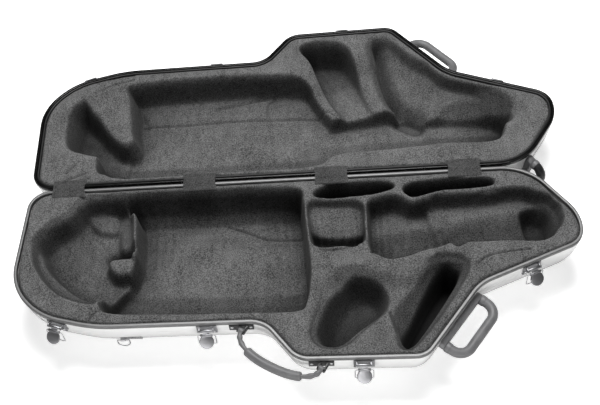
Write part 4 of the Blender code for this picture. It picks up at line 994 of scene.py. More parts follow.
    def mesh(self, name):
        """Closed body of the lining, with smooth faces that point outward."""
        mesh = self.top_mesh(name)
        shape = bmesh.new()
        shape.from_mesh(mesh)
        self.close_below(shape)
        bmesh.ops.recalc_face_normals(shape, faces=shape.faces)
        for face in shape.faces:
            face.smooth = True
        shape.to_mesh(mesh)
        shape.free()
        return mesh


def border_loop(shape):
    """Vertices around the open border of a mesh, in order."""
    after = {}
    for edge in shape.edges:
        if len(edge.link_faces) == 1:
            start = edge.link_loops[0].vert
            after[start] = edge.other_vert(start)
    start = next(iter(after))
    loop = [start]
    while after[loop[-1]] is not start:
        loop.append(after[loop[-1]])
    if len(loop) != len(after):
        raise RuntimeError("The border of the lining is not one loop")
    return loop


def nearest_on(points, target):
    """Nearest place on a closed outline: index of the stretch and share along it."""
    best = None
    count = len(points)
    for index in range(count):
        start = points[index]
        way = points[(index + 1) % count] - start
        along = max(0, min(1, (target - start).dot(way) / max(way.length_squared, WELD * WELD)))
        distance = (start + way * along - target).length_squared
        if best is None or distance < best[0]:
            best = (distance, index, along)
    return best[1], best[2]


# Forms of the base lining

BOW_SHARES = [
    (-0.294, 0.045), (-0.322, 0.042), (-0.362, 0.045), (-0.383, 0.080), (-0.400, 0.145), (-0.430, 0.196),
    (-0.451, 0.251), (-0.455, 0.337), (-0.446, 0.424), (-0.417, 0.538), (-0.387, 0.605), (-0.351, 0.642),
    (-0.328, 0.640), (-0.314, 0.560), (-0.292, 0.490), (-0.280, 0.400), (-0.275, 0.300), (-0.279, 0.136),
]
BOW_WELL_SHARES = [
    (-0.450, 0.280), (-0.428, 0.200), (-0.398, 0.146), (-0.381, 0.082), (-0.360, 0.048), (-0.304, 0.048),
    (-0.286, 0.110), (-0.281, 0.230), (-0.280, 0.340), (-0.264, 0.440), (-0.290, 0.520), (-0.320, 0.600),
    (-0.356, 0.592), (-0.396, 0.512), (-0.428, 0.420), (-0.442, 0.345),
]
BOW_FINGER_SHARES = [
    (-0.322, 0.390), (-0.316, 0.356), (-0.282, 0.346), (-0.250, 0.346), (-0.250, 0.420), (-0.276, 0.450),
    (-0.306, 0.452),
]
BOW_SLOPE_SHARES = [
    (-0.312, 0.070), (-0.262, 0.060), (-0.258, 0.200), (-0.258, 0.306), (-0.300, 0.300), (-0.310, 0.200),
]
BOW_NOTCH_SHARES = [
    (-0.322, 0.312), (-0.300, 0.318), (-0.266, 0.322),
]
BOW_PATCH_SHARES = [
    (-0.372, 0.064), (-0.318, 0.076), (-0.318, 0.168), (-0.354, 0.156),
]
BODY_SHARES = [
    (-0.288, 0.045), (-0.120, 0.040), (-0.064, 0.043), (0.020, 0.058), (0.030, 0.127), (0.034, 0.218),
    (0.038, 0.406), (0.040, 0.544), (0.032, 0.690), (0.016, 0.735), (-0.062, 0.732), (-0.189, 0.719),
    (-0.296, 0.700), (-0.318, 0.664), (-0.318, 0.606), (-0.306, 0.549), (-0.284, 0.480), (-0.272, 0.397),
    (-0.270, 0.300), (-0.275, 0.136),
]
FRONT_SLOT_SHARES = [
    (0.053, 0.096), (0.079, 0.050), (0.125, 0.042), (0.185, 0.050), (0.198, 0.076), (0.160, 0.108),
    (0.114, 0.118), (0.074, 0.118),
]
TIP_SLOT_SHARES = [
    (0.218, 0.091), (0.239, 0.060), (0.303, 0.052), (0.371, 0.060), (0.380, 0.086), (0.355, 0.102),
    (0.283, 0.108), (0.250, 0.129), (0.230, 0.136),
]
POCKET_SHARES = [
    (0.042, 0.150), (0.078, 0.141), (0.136, 0.160), (0.142, 0.280), (0.135, 0.385), (0.087, 0.402),
    (0.052, 0.390), (0.044, 0.305),
]
POCKET_SHELF_SHARES = [
    (0.048, 0.100), (0.150, 0.100), (0.146, 0.292), (0.050, 0.288),
]
PEAR_SHARES = [
    (0.151, 0.168), (0.169, 0.141), (0.192, 0.127), (0.210, 0.140), (0.231, 0.178), (0.258, 0.165),
    (0.264, 0.230), (0.284, 0.400), (0.269, 0.434), (0.234, 0.458), (0.203, 0.473), (0.181, 0.479),
    (0.162, 0.463), (0.150, 0.423), (0.147, 0.280),
]
PEAR_MOUND_SHARES = [
    (0.168, 0.290), (0.210, 0.262), (0.262, 0.262),
]
THROAT_SHARES = [
    (0.264, 0.163), (0.291, 0.141), (0.318, 0.140), (0.368, 0.140), (0.410, 0.120), (0.445, 0.134),
    (0.474, 0.192), (0.482, 0.282), (0.474, 0.381), (0.449, 0.430), (0.400, 0.423), (0.357, 0.420),
    (0.322, 0.417), (0.292, 0.423),
]
THROAT_MOUND_SHARES = [
    (0.288, 0.270), (0.330, 0.240), (0.410, 0.225),
]
THROAT_WELL_SHARES = [
    (0.424, 0.222), (0.450, 0.182), (0.476, 0.225), (0.478, 0.313), (0.462, 0.352), (0.432, 0.340),
]
SADDLE_DIP_SHARES = [
    (0.248, 0.178), (0.276, 0.164), (0.292, 0.300), (0.302, 0.400), (0.268, 0.414), (0.256, 0.300),
]
FOOT_SHARES = [
    (0.044, 0.480), (0.117, 0.440), (0.190, 0.440), (0.280, 0.440), (0.330, 0.470), (0.300, 0.600),
    (0.258, 0.740), (0.216, 0.900), (0.180, 0.950), (0.110, 0.945), (0.050, 0.925), (0.030, 0.830),
    (0.034, 0.682),
]
GROOVE_SHARES = [
    (0.118, 0.560), (0.088, 0.622), (0.066, 0.720), (0.052, 0.825), (0.052, 0.872), (0.062, 0.900),
    (0.089, 0.900), (0.126, 0.818), (0.172, 0.712), (0.166, 0.600),
]
FLAT_PAD_SHARES = [
    (0.170, 0.748), (0.172, 0.752), (0.184, 0.900), (0.182, 0.920), (0.170, 0.930), (0.105, 0.926),
    (0.098, 0.918), (0.100, 0.900), (0.166, 0.755),
]
VALLEY_SHARES = [
    (0.178, 0.742), (0.207, 0.643), (0.249, 0.540), (0.277, 0.500), (0.306, 0.545), (0.260, 0.742),
    (0.205, 0.920), (0.190, 0.905),
]
SLANT_SLOT_SHARES = [
    (0.272, 0.512), (0.292, 0.524), (0.299, 0.560), (0.258, 0.732), (0.224, 0.860), (0.206, 0.916),
    (0.190, 0.903), (0.193, 0.850), (0.214, 0.740), (0.242, 0.610),
]
SEAM_BODY_SHARES = [
    (-0.118, 0.099), (-0.072, 0.153), (-0.034, 0.198), (0.029, 0.208),
]
SEAM_LIP_SHARES = [(-0.338, 0.745), (-0.325, 0.695)]
SEAM_THROAT_SHARES = [(0.430, 0.128), (0.388, 0.125), (0.330, 0.150)]
SHELF_LINE_SHARES = [(0.330, 0.545), (0.356, 0.500), (0.425, 0.480)]
FOOT_HILL_SHARES = [
    (0.075, 0.560), (0.110, 0.500), (0.165, 0.540), (0.215, 0.570), (0.246, 0.480),
]
DIVIDER_SHARES = [
    (0.050, 0.500), (0.117, 0.500), (0.176, 0.462), (0.258, 0.432), (0.305, 0.432), (0.461, 0.424),
]
PAD_SEAM_SHARES = [(0.176, 0.735), (0.150, 0.790), (0.100, 0.905)]
CREASE_SHARES = [
    [(0.070, 0.350), (0.095, 0.380), (0.135, 0.370)],
    [(0.062, 0.420), (0.090, 0.430), (0.125, 0.405)],
    [(0.150, 0.455), (0.165, 0.440), (0.190, 0.450)],
]


# Floors, runs of the walls, lips and steepness of the base forms

BOW = {"floor": 0.030, "run": 0.008}
BOW_WELL = {"floor": 0.074, "run": 0.014, "top": 0.012, "lip": 0.010, "power": 2.4}
BOW_PATCH = {"level": 0.060, "run": 0.024, "lip": 0.008, "far": 0.030}
BOW_SLOPE_PLANE = {"shares": ((-0.31, 0.08), (-0.26, 0.14)), "drops": (0.070, 0.046)}
BOW_SLOPE = {"run": 0.030, "lip": 0.006, "far": 0.030}
BOW_FINGER = {"level": 0.036, "run": 0.032, "lip": 0.012, "power": 1.2}
BOW_NOTCH = {"height": -0.024, "width": 0.012}
BODY = {"floor": 0.100, "run": 0.005, "lip": 0.007}
FOOT = {"depth": 0.030, "run": 0.080}
FRONT_SLOT = {"floor": 0.080, "run": 0.004, "lip": 0.003}
TIP_SLOT = {"floor": 0.074, "run": 0.004, "lip": 0.003}
POCKET = {"floor": 0.066, "run": 0.006}
POCKET_SHELF_PLANE = {"shares": ((0.09, 0.16), (0.09, 0.28)), "drops": (0.026, 0.040)}
POCKET_SHELF = {"run": 0.005, "lip": 0.008}
PEAR_PLANE = {"shares": ((0.20, 0.24), (0.20, 0.46)), "drops": (0.058, 0.094)}
PEAR = {"run": 0.009}
THROAT_PLANE = {"shares": ((0.36, 0.20), (0.36, 0.42)), "drops": (0.046, 0.092)}
THROAT = {"run": 0.010}
SADDLE_DIP_PLANE = {"shares": ((0.27, 0.20), (0.29, 0.42)), "drops": (0.046, 0.080)}
SADDLE_DIP = {"run": 0.012}
PEAR_MOUND = {"height": 0.008, "width": 0.018}
THROAT_MOUND = {"height": 0.010, "width": 0.020}
THROAT_WELL = {"floor": 0.094, "run": 0.014, "top": 0.034, "lip": 0.014, "power": 2.0}
GROOVE = {"floor": 0.090, "run": 0.028, "top": 0.014, "lip": 0.014, "power": 1.9}
VALLEY = {"floor": 0.064, "run": 0.040, "top": 0.018, "lip": 0.012, "power": 1.5}
FLAT_PAD = {"level": 0.014, "run": 0.008, "lip": 0.002}
SLANT_SLOT = {"floor": 0.118, "run": 0.010, "top": 0.012, "lip": 0.004, "power": 2.6}
DIVIDER = {"height": 0.0040, "width": 0.010}
FOOT_HILL = {"height": 0.0100, "width": 0.018}
SEAM = {"height": -0.0045, "width": 0.0022}
CREASE = {"height": -0.0060, "width": 0.0034}


def shape_base(lining):
    """Press every compartment of the base lining."""
    lining.sink(BOW_SHARES, **BOW)
    lining.sink(BOW_WELL_SHARES, **BOW_WELL)
    lining.raise_up(BOW_PATCH_SHARES, **BOW_PATCH)
    lining.raise_up(BOW_SLOPE_SHARES, lining.plane(**BOW_SLOPE_PLANE), **BOW_SLOPE)
    lining.raise_up(BOW_FINGER_SHARES, **BOW_FINGER)
    lining.ridge(BOW_NOTCH_SHARES, **BOW_NOTCH)
    lining.sink(BODY_SHARES, **BODY)
    lining.hollow(FOOT_SHARES, **FOOT)
    lining.sink(FRONT_SLOT_SHARES, **FRONT_SLOT)
    lining.sink(TIP_SLOT_SHARES, **TIP_SLOT)
    lining.sink(POCKET_SHARES, **POCKET)
    lining.raise_up(POCKET_SHELF_SHARES, lining.plane(**POCKET_SHELF_PLANE), **POCKET_SHELF)
    lining.sink(PEAR_SHARES, lining.plane(**PEAR_PLANE), **PEAR)
    lining.sink(THROAT_SHARES, lining.plane(**THROAT_PLANE), **THROAT)
    lining.sink(SADDLE_DIP_SHARES, lining.plane(**SADDLE_DIP_PLANE), **SADDLE_DIP)
    lining.ridge(PEAR_MOUND_SHARES, **PEAR_MOUND)
    lining.ridge(THROAT_MOUND_SHARES, **THROAT_MOUND)
    lining.sink(THROAT_WELL_SHARES, **THROAT_WELL)
    lining.sink(GROOVE_SHARES, **GROOVE)
    lining.sink(VALLEY_SHARES, **VALLEY)
    lining.raise_up(FLAT_PAD_SHARES, **FLAT_PAD)
    lining.sink(SLANT_SLOT_SHARES, **SLANT_SLOT)
    lining.ridge(DIVIDER_SHARES, **DIVIDER)
    lining.ridge(FOOT_HILL_SHARES, **FOOT_HILL)


def crease_base(lining):
    """Press the seams and creases of the base lining."""
    for shares in (SEAM_BODY_SHARES, SEAM_LIP_SHARES, SHELF_LINE_SHARES, SEAM_THROAT_SHARES, PAD_SEAM_SHARES):
        lining.ridge(shares, **SEAM)
    for shares in CREASE_SHARES:
        lining.ridge(shares, **CREASE)


# Forms of the lid lining

LID_MAIN_SHARES = [
    (-0.322, 0.062), (-0.130, 0.058), (0.048, 0.066), (0.085, 0.125), (0.120, 0.250), (0.110, 0.380),
    (0.090, 0.480), (0.064, 0.590), (0.035, 0.680), (-0.087, 0.704), (-0.197, 0.702), (-0.296, 0.686),
    (-0.322, 0.640), (-0.316, 0.400), (-0.322, 0.180),
]
LID_LEFT_SHARES = [
    (-0.290, 0.640), (-0.345, 0.640), (-0.396, 0.606), (-0.421, 0.546), (-0.424, 0.436), (-0.420, 0.286),
    (-0.389, 0.232), (-0.350, 0.204), (-0.290, 0.180), (-0.250, 0.350),
]
LID_NOTCH_SHARES = [
    (-0.357, 0.206), (-0.348, 0.230), (-0.328, 0.237), (-0.321, 0.169), (-0.319, 0.094), (-0.352, 0.097),
]
LID_TOOTH_SHARES = [
    (-0.405, 0.650), (-0.334, 0.730), (-0.312, 0.640), (-0.304, 0.434), (-0.298, 0.362), (-0.312, 0.326),
    (-0.330, 0.344), (-0.352, 0.412), (-0.374, 0.495), (-0.394, 0.563),
]
LID_CHANNEL_SHARES = [
    (0.000, 0.100), (0.060, 0.098), (0.116, 0.142), (0.179, 0.147), (0.243, 0.158), (0.306, 0.171),
    (0.389, 0.166), (0.412, 0.200), (0.424, 0.290), (0.440, 0.370), (0.410, 0.440), (0.340, 0.470),
    (0.284, 0.470), (0.240, 0.520), (0.190, 0.500), (0.130, 0.474), (0.080, 0.462), (0.000, 0.450),
]
LID_LAND_SHARES = [
    (0.000, 0.640), (0.070, 0.860), (0.200, 0.860), (0.270, 0.600), (0.330, 0.420), (0.250, 0.250),
    (0.050, 0.250), (-0.020, 0.450),
]
LID_EAR_SHARES = [
    (0.038, 0.880), (0.050, 0.922), (0.085, 0.932), (0.121, 0.902), (0.142, 0.817), (0.168, 0.597),
    (0.187, 0.440), (0.143, 0.424), (0.109, 0.482), (0.081, 0.630), (0.058, 0.785),
]
LID_SLOPE_SHARES = [
    (0.180, 0.950), (0.224, 0.950), (0.240, 0.860), (0.295, 0.650), (0.385, 0.520), (0.470, 0.460),
    (0.470, 0.300), (0.300, 0.250), (0.220, 0.400), (0.180, 0.700),
]
LID_NEAR_SHARES = [
    (0.062, 0.150), (0.116, 0.180), (0.179, 0.186), (0.243, 0.196), (0.306, 0.208), (0.380, 0.208),
    (0.402, 0.240), (0.412, 0.310),
]
LID_BASIN_SHARES = [
    (0.300, 0.300), (0.424, 0.290), (0.442, 0.370), (0.446, 0.420), (0.430, 0.480), (0.390, 0.545),
    (0.345, 0.578), (0.300, 0.556), (0.270, 0.460),
]
LID_FUNNEL_SHARES = [
    (0.187, 0.922), (0.204, 0.935), (0.226, 0.900), (0.262, 0.780), (0.330, 0.640), (0.400, 0.500),
    (0.380, 0.330), (0.300, 0.340), (0.262, 0.425), (0.226, 0.512), (0.208, 0.596), (0.195, 0.714),
    (0.191, 0.833),
]
LID_TROUGH_SHARES = [
    (0.192, 0.890), (0.196, 0.760), (0.206, 0.640), (0.228, 0.530), (0.262, 0.470),
]
LID_SEAM_SHARES = [
    (-0.292, 0.546), (-0.208, 0.546), (-0.116, 0.552), (0.028, 0.544), (0.089, 0.519),
]
LID_FOLD_SHARES = [
    [(-0.435, 0.035), (-0.406, 0.058), (-0.378, 0.088)],
    [(-0.420, 0.024), (-0.397, 0.040), (-0.370, 0.055)],
    [(-0.416, 0.095), (-0.401, 0.143)],
    [(-0.382, 0.640), (-0.345, 0.690), (-0.305, 0.720)],
    [(-0.358, 0.720), (-0.336, 0.745), (-0.305, 0.752)],
    [(-0.038, 0.577), (-0.036, 0.642), (-0.020, 0.680)],
    [(-0.145, 0.631), (-0.071, 0.665), (-0.029, 0.682)],
]


# Floors, runs of the walls, lips and steepness of the lid forms

LID_LAND = {"depth": 0.054, "run": 0.110}
LID_SLOPE = {"depth": 0.026, "run": 0.060}
LID_MAIN_PLANE = {"shares": ((-0.10, 0.66), (-0.10, 0.42)), "drops": (0.078, 0.100)}
LID_MAIN = {"run": 0.010, "lip": 0.012}
LID_LEFT = {"floor": 0.092, "run": 0.014, "lip": 0.014, "power": 2.2}
LID_NOTCH = {"floor": 0.096, "run": 0.003, "lip": 0.003}
LID_TOOTH_PLANE = {"shares": ((-0.34, 0.66), (-0.32, 0.44)), "drops": (0.008, 0.034)}
LID_TOOTH = {"run": 0.030, "lip": 0.012}
LID_CHANNEL_PLANE = {"shares": ((0.20, 0.30), (0.44, 0.30)), "drops": (0.098, 0.104)}
LID_CHANNEL = {"run": 0.010, "lip": 0.008}
LID_BASIN = {"floor": 0.084, "run": 0.056, "lip": 0.018, "power": 1.6}
LID_FUNNEL_PLANE = {"shares": ((0.31, 0.86), (0.22, 0.47)), "drops": (0.014, 0.090)}
LID_FUNNEL = {"run": 0.008, "lip": 0.006}
LID_EAR_PLANE = {"shares": ((0.06, 0.80), (0.20, 0.55)), "drops": (0.094, 0.062)}
LID_EAR = {"run": 0.012, "lip": 0.010}
LID_NEAR = {"height": -0.012, "width": 0.016}
LID_TROUGH = {"height": -0.034, "width": 0.020}
LID_SEAM = {"height": -0.0045, "width": 0.0024}
LID_FOLD = {"height": -0.0045, "width": 0.0030}


def shape_lid(lining):
    """Press every compartment of the lid lining."""
    lining.hollow(LID_LAND_SHARES, **LID_LAND)
    lining.hollow(LID_SLOPE_SHARES, **LID_SLOPE)
    lining.sink(LID_MAIN_SHARES, lining.plane(**LID_MAIN_PLANE), **LID_MAIN)
    lining.sink(LID_LEFT_SHARES, **LID_LEFT)
    lining.sink(LID_NOTCH_SHARES, **LID_NOTCH)
    lining.raise_up(LID_TOOTH_SHARES, lining.plane(**LID_TOOTH_PLANE), **LID_TOOTH)
    lining.sink(LID_CHANNEL_SHARES, lining.plane(**LID_CHANNEL_PLANE), **LID_CHANNEL)
    lining.sink(LID_BASIN_SHARES, **LID_BASIN)
    lining.sink(LID_FUNNEL_SHARES, lining.plane(**LID_FUNNEL_PLANE), **LID_FUNNEL)
    lining.sink(LID_EAR_SHARES, lining.plane(**LID_EAR_PLANE), **LID_EAR)
    lining.ridge(LID_NEAR_SHARES, **LID_NEAR)
    lining.ridge(LID_TROUGH_SHARES, **LID_TROUGH)


def crease_lid(lining):
    """Press the seams and wrinkles of the lid lining."""
    lining.ridge(LID_SEAM_SHARES, **LID_SEAM)
    for shares in LID_FOLD_SHARES:
        lining.ridge(shares, **LID_FOLD)


def build_lining(name, side, sizes, shaper, creaser):
    """Lining of one half, in place of its plain solid."""
    lining = Lining(side, sizes.grid_step, sizes.lip)
    shaper(lining)
    lining.soften()
    creaser(lining)
    lining.wave(sizes.foam_wave, FOAM_SEED + side)
    lining.close_edge()
    piece = add_piece(name, lining.mesh(name), finish_of("short_pile"), BODY_NAMES[side])
    return piece


# Shells, rims and seal


def shell_mesh(name, side):
    """Bulged shell with its inner wall."""
    def surface(inset, top):
        rows = [placed(rim_outline(inset), top, side), placed(rim_outline(inset), SKIRT_DEPTH, side)]
        return rows + [placed(points, drop, side) for points, drop in wall_levels(inset)]
    outside = surface(0, SHELL_TOP_DROP)
    inside = surface(SHELL_THICKNESS, SHELL_TOP_DROP)
    mesh = loft(name, outside[::-1] + inside, cap_first=True, cap_last=True)
    shade_round(mesh)
    return mesh


def rim_profile():
    """Section of a rim channel as (outward, drop), with a rounded crest."""
    points = []
    for centre, turn in ((RIM_OUTER - RIM_CREST, 0), (RIM_CREST - RIM_INNER, math.pi * HALF)):
        for step in range(CREST_STEPS + 1):
            angle = turn + math.pi * HALF * step / CREST_STEPS
            points.append((
                centre + RIM_CREST * math.cos(angle),
                RIM_DROP + RIM_CREST - RIM_CREST * math.sin(angle),
            ))
    inner_leg = -SHELL_THICKNESS - PIECE_GAP
    points += [
        (-RIM_INNER, RIM_HEIGHT), (inner_leg, RIM_HEIGHT), (inner_leg, RIM_WEB),
        (PIECE_GAP, RIM_WEB), (PIECE_GAP, RIM_HEIGHT), (RIM_OUTER, RIM_HEIGHT),
    ]
    return points


def hinge_places():
    """X of every hinge."""
    return [(HINGE_FIRST_SHARE + HINGE_PITCH_SHARE * index) * CASE_LENGTH for index in range(HINGE_COUNT)]


def rim_mesh(name, side):
    """Rim channel with a notch for every hinge leaf."""
    rows = [placed(rim_outline(-outward), drop, side) for outward, drop in rim_profile()]
    band = loft(name, rows, join_ends=True)
    half = LEAF_WIDTH * HALF + PIECE_GAP
    cutters = []
    for place in hinge_places():
        low, high = sorted((HINGE_Y + side * NOTCH_START, HINGE_Y + side * NOTCH_END))
        low_corner = (place - half, low, HALF_DEPTH - NOTCH_FLOOR)
        mesh = block_mesh("notch", low_corner, (place + half, high, HALF_DEPTH + NOTCH_RISE))
        cutter = bpy.data.objects.new("notch", mesh)
        bpy.context.scene.collection.objects.link(cutter)
        cutters.append(cutter)

    def cut(helper):
        for cutter in cutters:
            modifier = helper.modifiers.new("notch", "BOOLEAN")
            modifier.operation = "DIFFERENCE"
            modifier.solver = "EXACT"
            modifier.object = cutter
    mesh = finished_mesh(name, band, cut)
    for cutter in cutters:
        bpy.data.objects.remove(cutter, do_unlink=True)
    shade_round(mesh)
    return mesh


def new_tree(name, inputs):
    """Geometry node tree with a geometry input and named number inputs. Returns tree and group nodes."""
    tree = bpy.data.node_groups.new(name, "GeometryNodeTree")
    tree.interface.new_socket("Geometry", in_out="INPUT", socket_type="NodeSocketGeometry")
    for label, kind, value in inputs:
        socket = tree.interface.new_socket(label, in_out="INPUT", socket_type=kind)
        if value is not None:
            socket.default_value = value
    tree.interface.new_socket("Geometry", in_out="OUTPUT", socket_type="NodeSocketGeometry")
    return tree, tree.nodes.new("NodeGroupInput"), tree.nodes.new("NodeGroupOutput")


def close_tree(tree, geometry, source, output):
    """End a tree in Realize Instances and Set Material."""
    realize = tree.nodes.new("GeometryNodeRealizeInstances")
    material = tree.nodes.new("GeometryNodeSetMaterial")
    tree.links.new(geometry, realize.inputs["Geometry"])
    tree.links.new(realize.outputs["Geometry"], material.inputs["Geometry"])
    tree.links.new(source.outputs["Material"], material.inputs["Material"])
    tree.links.new(material.outputs["Geometry"], output.inputs["Geometry"])


def grown_mesh(name, mesh, tree, values):
    """Run a node tree on a mesh with its inputs set by identifier and return the plain mesh."""
    def attach(helper):
        modifier = helper.modifiers.new(name, "NODES")
        modifier.node_group = tree
        for item in tree.interface.items_tree:
            if item.in_out == "INPUT" and item.name in values:
                modifier[item.identifier] = values[item.name]
    return finished_mesh(name, mesh, attach)


def make_cord_tree():
    """Tree that runs a round section along the edges of a mesh."""
    tree, source, output = new_tree("round_bead", [
        ("Radius", "NodeSocketFloat", SEAL_RADIUS),
        ("Sides", "NodeSocketInt", SEAL_SIDES),
        ("Material", "NodeSocketMaterial", None),
    ])
    to_curve = tree.nodes.new("GeometryNodeMeshToCurve")
    circle = tree.nodes.new("GeometryNodeCurvePrimitiveCircle")
    sweep = tree.nodes.new("GeometryNodeCurveToMesh")
    smooth = tree.nodes.new("GeometryNodeSetShadeSmooth")
    tree.links.new(source.outputs["Geometry"], to_curve.inputs["Mesh"])
    tree.links.new(source.outputs["Sides"], circle.inputs["Resolution"])
    tree.links.new(source.outputs["Radius"], circle.inputs["Radius"])
    tree.links.new(to_curve.outputs["Curve"], sweep.inputs["Curve"])
    tree.links.new(circle.outputs["Curve"], sweep.inputs["Profile Curve"])
    sweep.inputs["Fill Caps"].default_value = True
    tree.links.new(sweep.outputs["Mesh"], smooth.inputs["Geometry"])
    close_tree(tree, smooth.outputs["Geometry"], source, output)
    return tree


def make_rivet_tree():
    """Tree that puts a domed rivet head on every point, turned to the point's own direction."""
    tree, source, output = new_tree("rivet_heads", [
        ("Radius", "NodeSocketFloat", LATCH_RIVET["Radius"]),
        ("Height", "NodeSocketFloat", LATCH_RIVET["Height"]),
        ("Sides", "NodeSocketInt", HEAD_SIDES),
        ("Material", "NodeSocketMaterial", None),
    ])
    points = tree.nodes.new("GeometryNodeMeshToPoints")
    tree.links.new(source.outputs["Geometry"], points.inputs["Mesh"])
    sphere = tree.nodes.new("GeometryNodeMeshUVSphere")
    sphere.inputs["Rings"].default_value = HEAD_RINGS
    tree.links.new(source.outputs["Sides"], sphere.inputs["Segments"])
    sphere.inputs["Radius"].default_value = 1.0
    scale = tree.nodes.new("ShaderNodeCombineXYZ")
    tree.links.new(source.outputs["Radius"], scale.inputs["X"])
    tree.links.new(source.outputs["Radius"], scale.inputs["Y"])
    tree.links.new(source.outputs["Height"], scale.inputs["Z"])
    way = tree.nodes.new("GeometryNodeInputNamedAttribute")
    way.data_type = "FLOAT_VECTOR"
    way.inputs["Name"].default_value = "way"
    align = tree.nodes.new("FunctionNodeAlignRotationToVector")
    align.axis = "Z"
    tree.links.new(way.outputs["Attribute"], align.inputs["Vector"])
    spread = tree.nodes.new("GeometryNodeInstanceOnPoints")
    tree.links.new(points.outputs["Points"], spread.inputs["Points"])
    tree.links.new(sphere.outputs["Mesh"], spread.inputs["Instance"])
    tree.links.new(align.outputs["Rotation"], spread.inputs["Rotation"])
    tree.links.new(scale.outputs["Vector"], spread.inputs["Scale"])
    smooth = tree.nodes.new("GeometryNodeSetShadeSmooth")
    tree.links.new(spread.outputs["Instances"], smooth.inputs["Geometry"])
    close_tree(tree, smooth.outputs["Geometry"], source, output)
    return tree


def points_mesh(name, places):
    """Loose points with a direction each."""
    mesh = bpy.data.meshes.new(name)
    mesh.from_pydata([place for place, _ in places], [], [])
    way = mesh.attributes.new("way", "FLOAT_VECTOR", "POINT")
    for index, (_, direction) in enumerate(places):
        way.data[index].vector = direction
    return mesh


def ring_mesh(name, points):
    """A closed chain of edges."""
    count = len(points)
    edges = [(index, (index + 1) % count) for index in range(count)]
    mesh = bpy.data.meshes.new(name)
    mesh.from_pydata(points, edges, [])
    return mesh


def add_heads(name, body, places, size):
    """Rivet or screw heads on a body, one for each place and its direction."""
    tree = bpy.data.node_groups.get("rivet_heads") or make_rivet_tree()
    steel = finish_of("bright_steel")
    values = {**size, "Sides": HEAD_SIDES, "Material": steel}
    mesh = grown_mesh(name, points_mesh(f"{name}_points", places), tree, values)
    piece = add_piece(name, mesh, steel, body)


def finer_copy(node, finish, body, edge):
    """A copy of a hard solid with eased edges, in place of the solid."""
    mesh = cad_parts[node].data.copy()
    shape = bmesh.new()
    shape.from_mesh(mesh)
    bmesh.ops.remove_doubles(shape, verts=shape.verts, dist=WELD)
    bmesh.ops.dissolve_limit(shape, angle_limit=FLAT_ANGLE, verts=shape.verts, edges=shape.edges)
    for face in shape.faces:
        face.smooth = True
    for line in shape.edges:
        line.smooth = True
    shape.to_mesh(mesh)
    shape.free()
    piece = add_piece(f"{node}_fine", mesh, finish_of(finish), body)
    bevel = piece.modifiers.new("eased edges", "BEVEL")
    bevel.width = edge
    bevel.segments = EDGE_STEPS
    bevel.limit_method = "ANGLE"
    bevel.angle_limit = BEVEL_ANGLE
    bevel.harden_normals = True
    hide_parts(node)


class CASE_OT_materials(bpy.types.Operator):
    """Make every finish of the case"""

    bl_idname = "case.materials"
    bl_label = "Finishes"

    def execute(self, context):
        finish = context.scene.case_finish
        make_shell_gloss(finish.shell)
        # The linings get painted shade in their hollows; the tabs get none
        make_plush("short_pile", finish.plush_dark, finish.plush_light, True)
        make_plush("tab_pile", finish.plush_dark, darker(finish.plush_light, TAB_SHADE), False)
        make_metal("brushed_alloy", **RIM_ALLOY)
        make_metal("latch_steel", finish.metal, **LATCH_STEEL)
        make_metal("bright_steel", **BRIGHT_STEEL)
        make_moulded("black_channel", **BLACK_CHANNEL)
        make_moulded("soft_seal", **SOFT_SEAL)
        make_moulded("handle_rubber", finish.handle, **HANDLE_RUBBER)
        make_moulded("black_moulding", **BLACK_MOULDING)
        return {"FINISHED"}


class CASE_OT_shells(bpy.types.Operator):
    """Build both bulged shells"""

    bl_idname = "case.shells"
    bl_label = "Shells"

    def execute(self, context):
        for side, node in ((BASE, "base_shell"), (LID, "lid_shell")):
            mesh = shell_mesh(node, side)
            piece = add_piece(f"{node}_gloss", mesh, finish_of("shell_gloss"), BODY_NAMES[side])
            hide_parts(node)
        return {"FINISHED"}


class CASE_OT_rims(bpy.types.Operator):
    """Build the rim channels and the sealing strip"""

    bl_idname = "case.rims"
    bl_label = "Rims and seal"

    def execute(self, context):
        for side, node, finish, slot in (
            (BASE, "base_rim", "brushed_alloy", "rim_alloy"), (LID, "lid_rim", "black_channel", "rim_black"),
        ):
            mesh = rim_mesh(node, side)
            piece = add_piece(f"{node}_channel", mesh, finish_of(finish), BODY_NAMES[side])
            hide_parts(node)
        path = ring_mesh("seal_path", placed(rim_outline(SEAL_PLACE), SEAL_DROP, LID))
        values = {"Radius": SEAL_RADIUS, "Sides": SEAL_SIDES, "Material": finish_of("soft_seal")}
        mesh = grown_mesh("lid_seal_bead", path, make_cord_tree(), values)
        turn_outward(mesh)
        seal = add_piece("lid_seal_bead", mesh, finish_of("soft_seal"), "lid")
        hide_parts("lid_seal")
        return {"FINISHED"}


class CASE_OT_base_lining(bpy.types.Operator):
    """Press the plush lining of the base"""

    bl_idname = "case.base_lining"
    bl_label = "Base lining"

    def execute(self, context):
        piece = build_lining("base_plush", BASE, context.scene.case_sizes, shape_base, crease_base)
        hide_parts("base_lining")
        return {"FINISHED"}


class CASE_OT_lid_lining(bpy.types.Operator):
    """Press the plush lining of the lid"""

    bl_idname = "case.lid_lining"
    bl_label = "Lid lining"

    def execute(self, context):
        piece = build_lining("lid_plush", LID, context.scene.case_sizes, shape_lid, crease_lid)
        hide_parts("lid_lining")
        return {"FINISHED"}


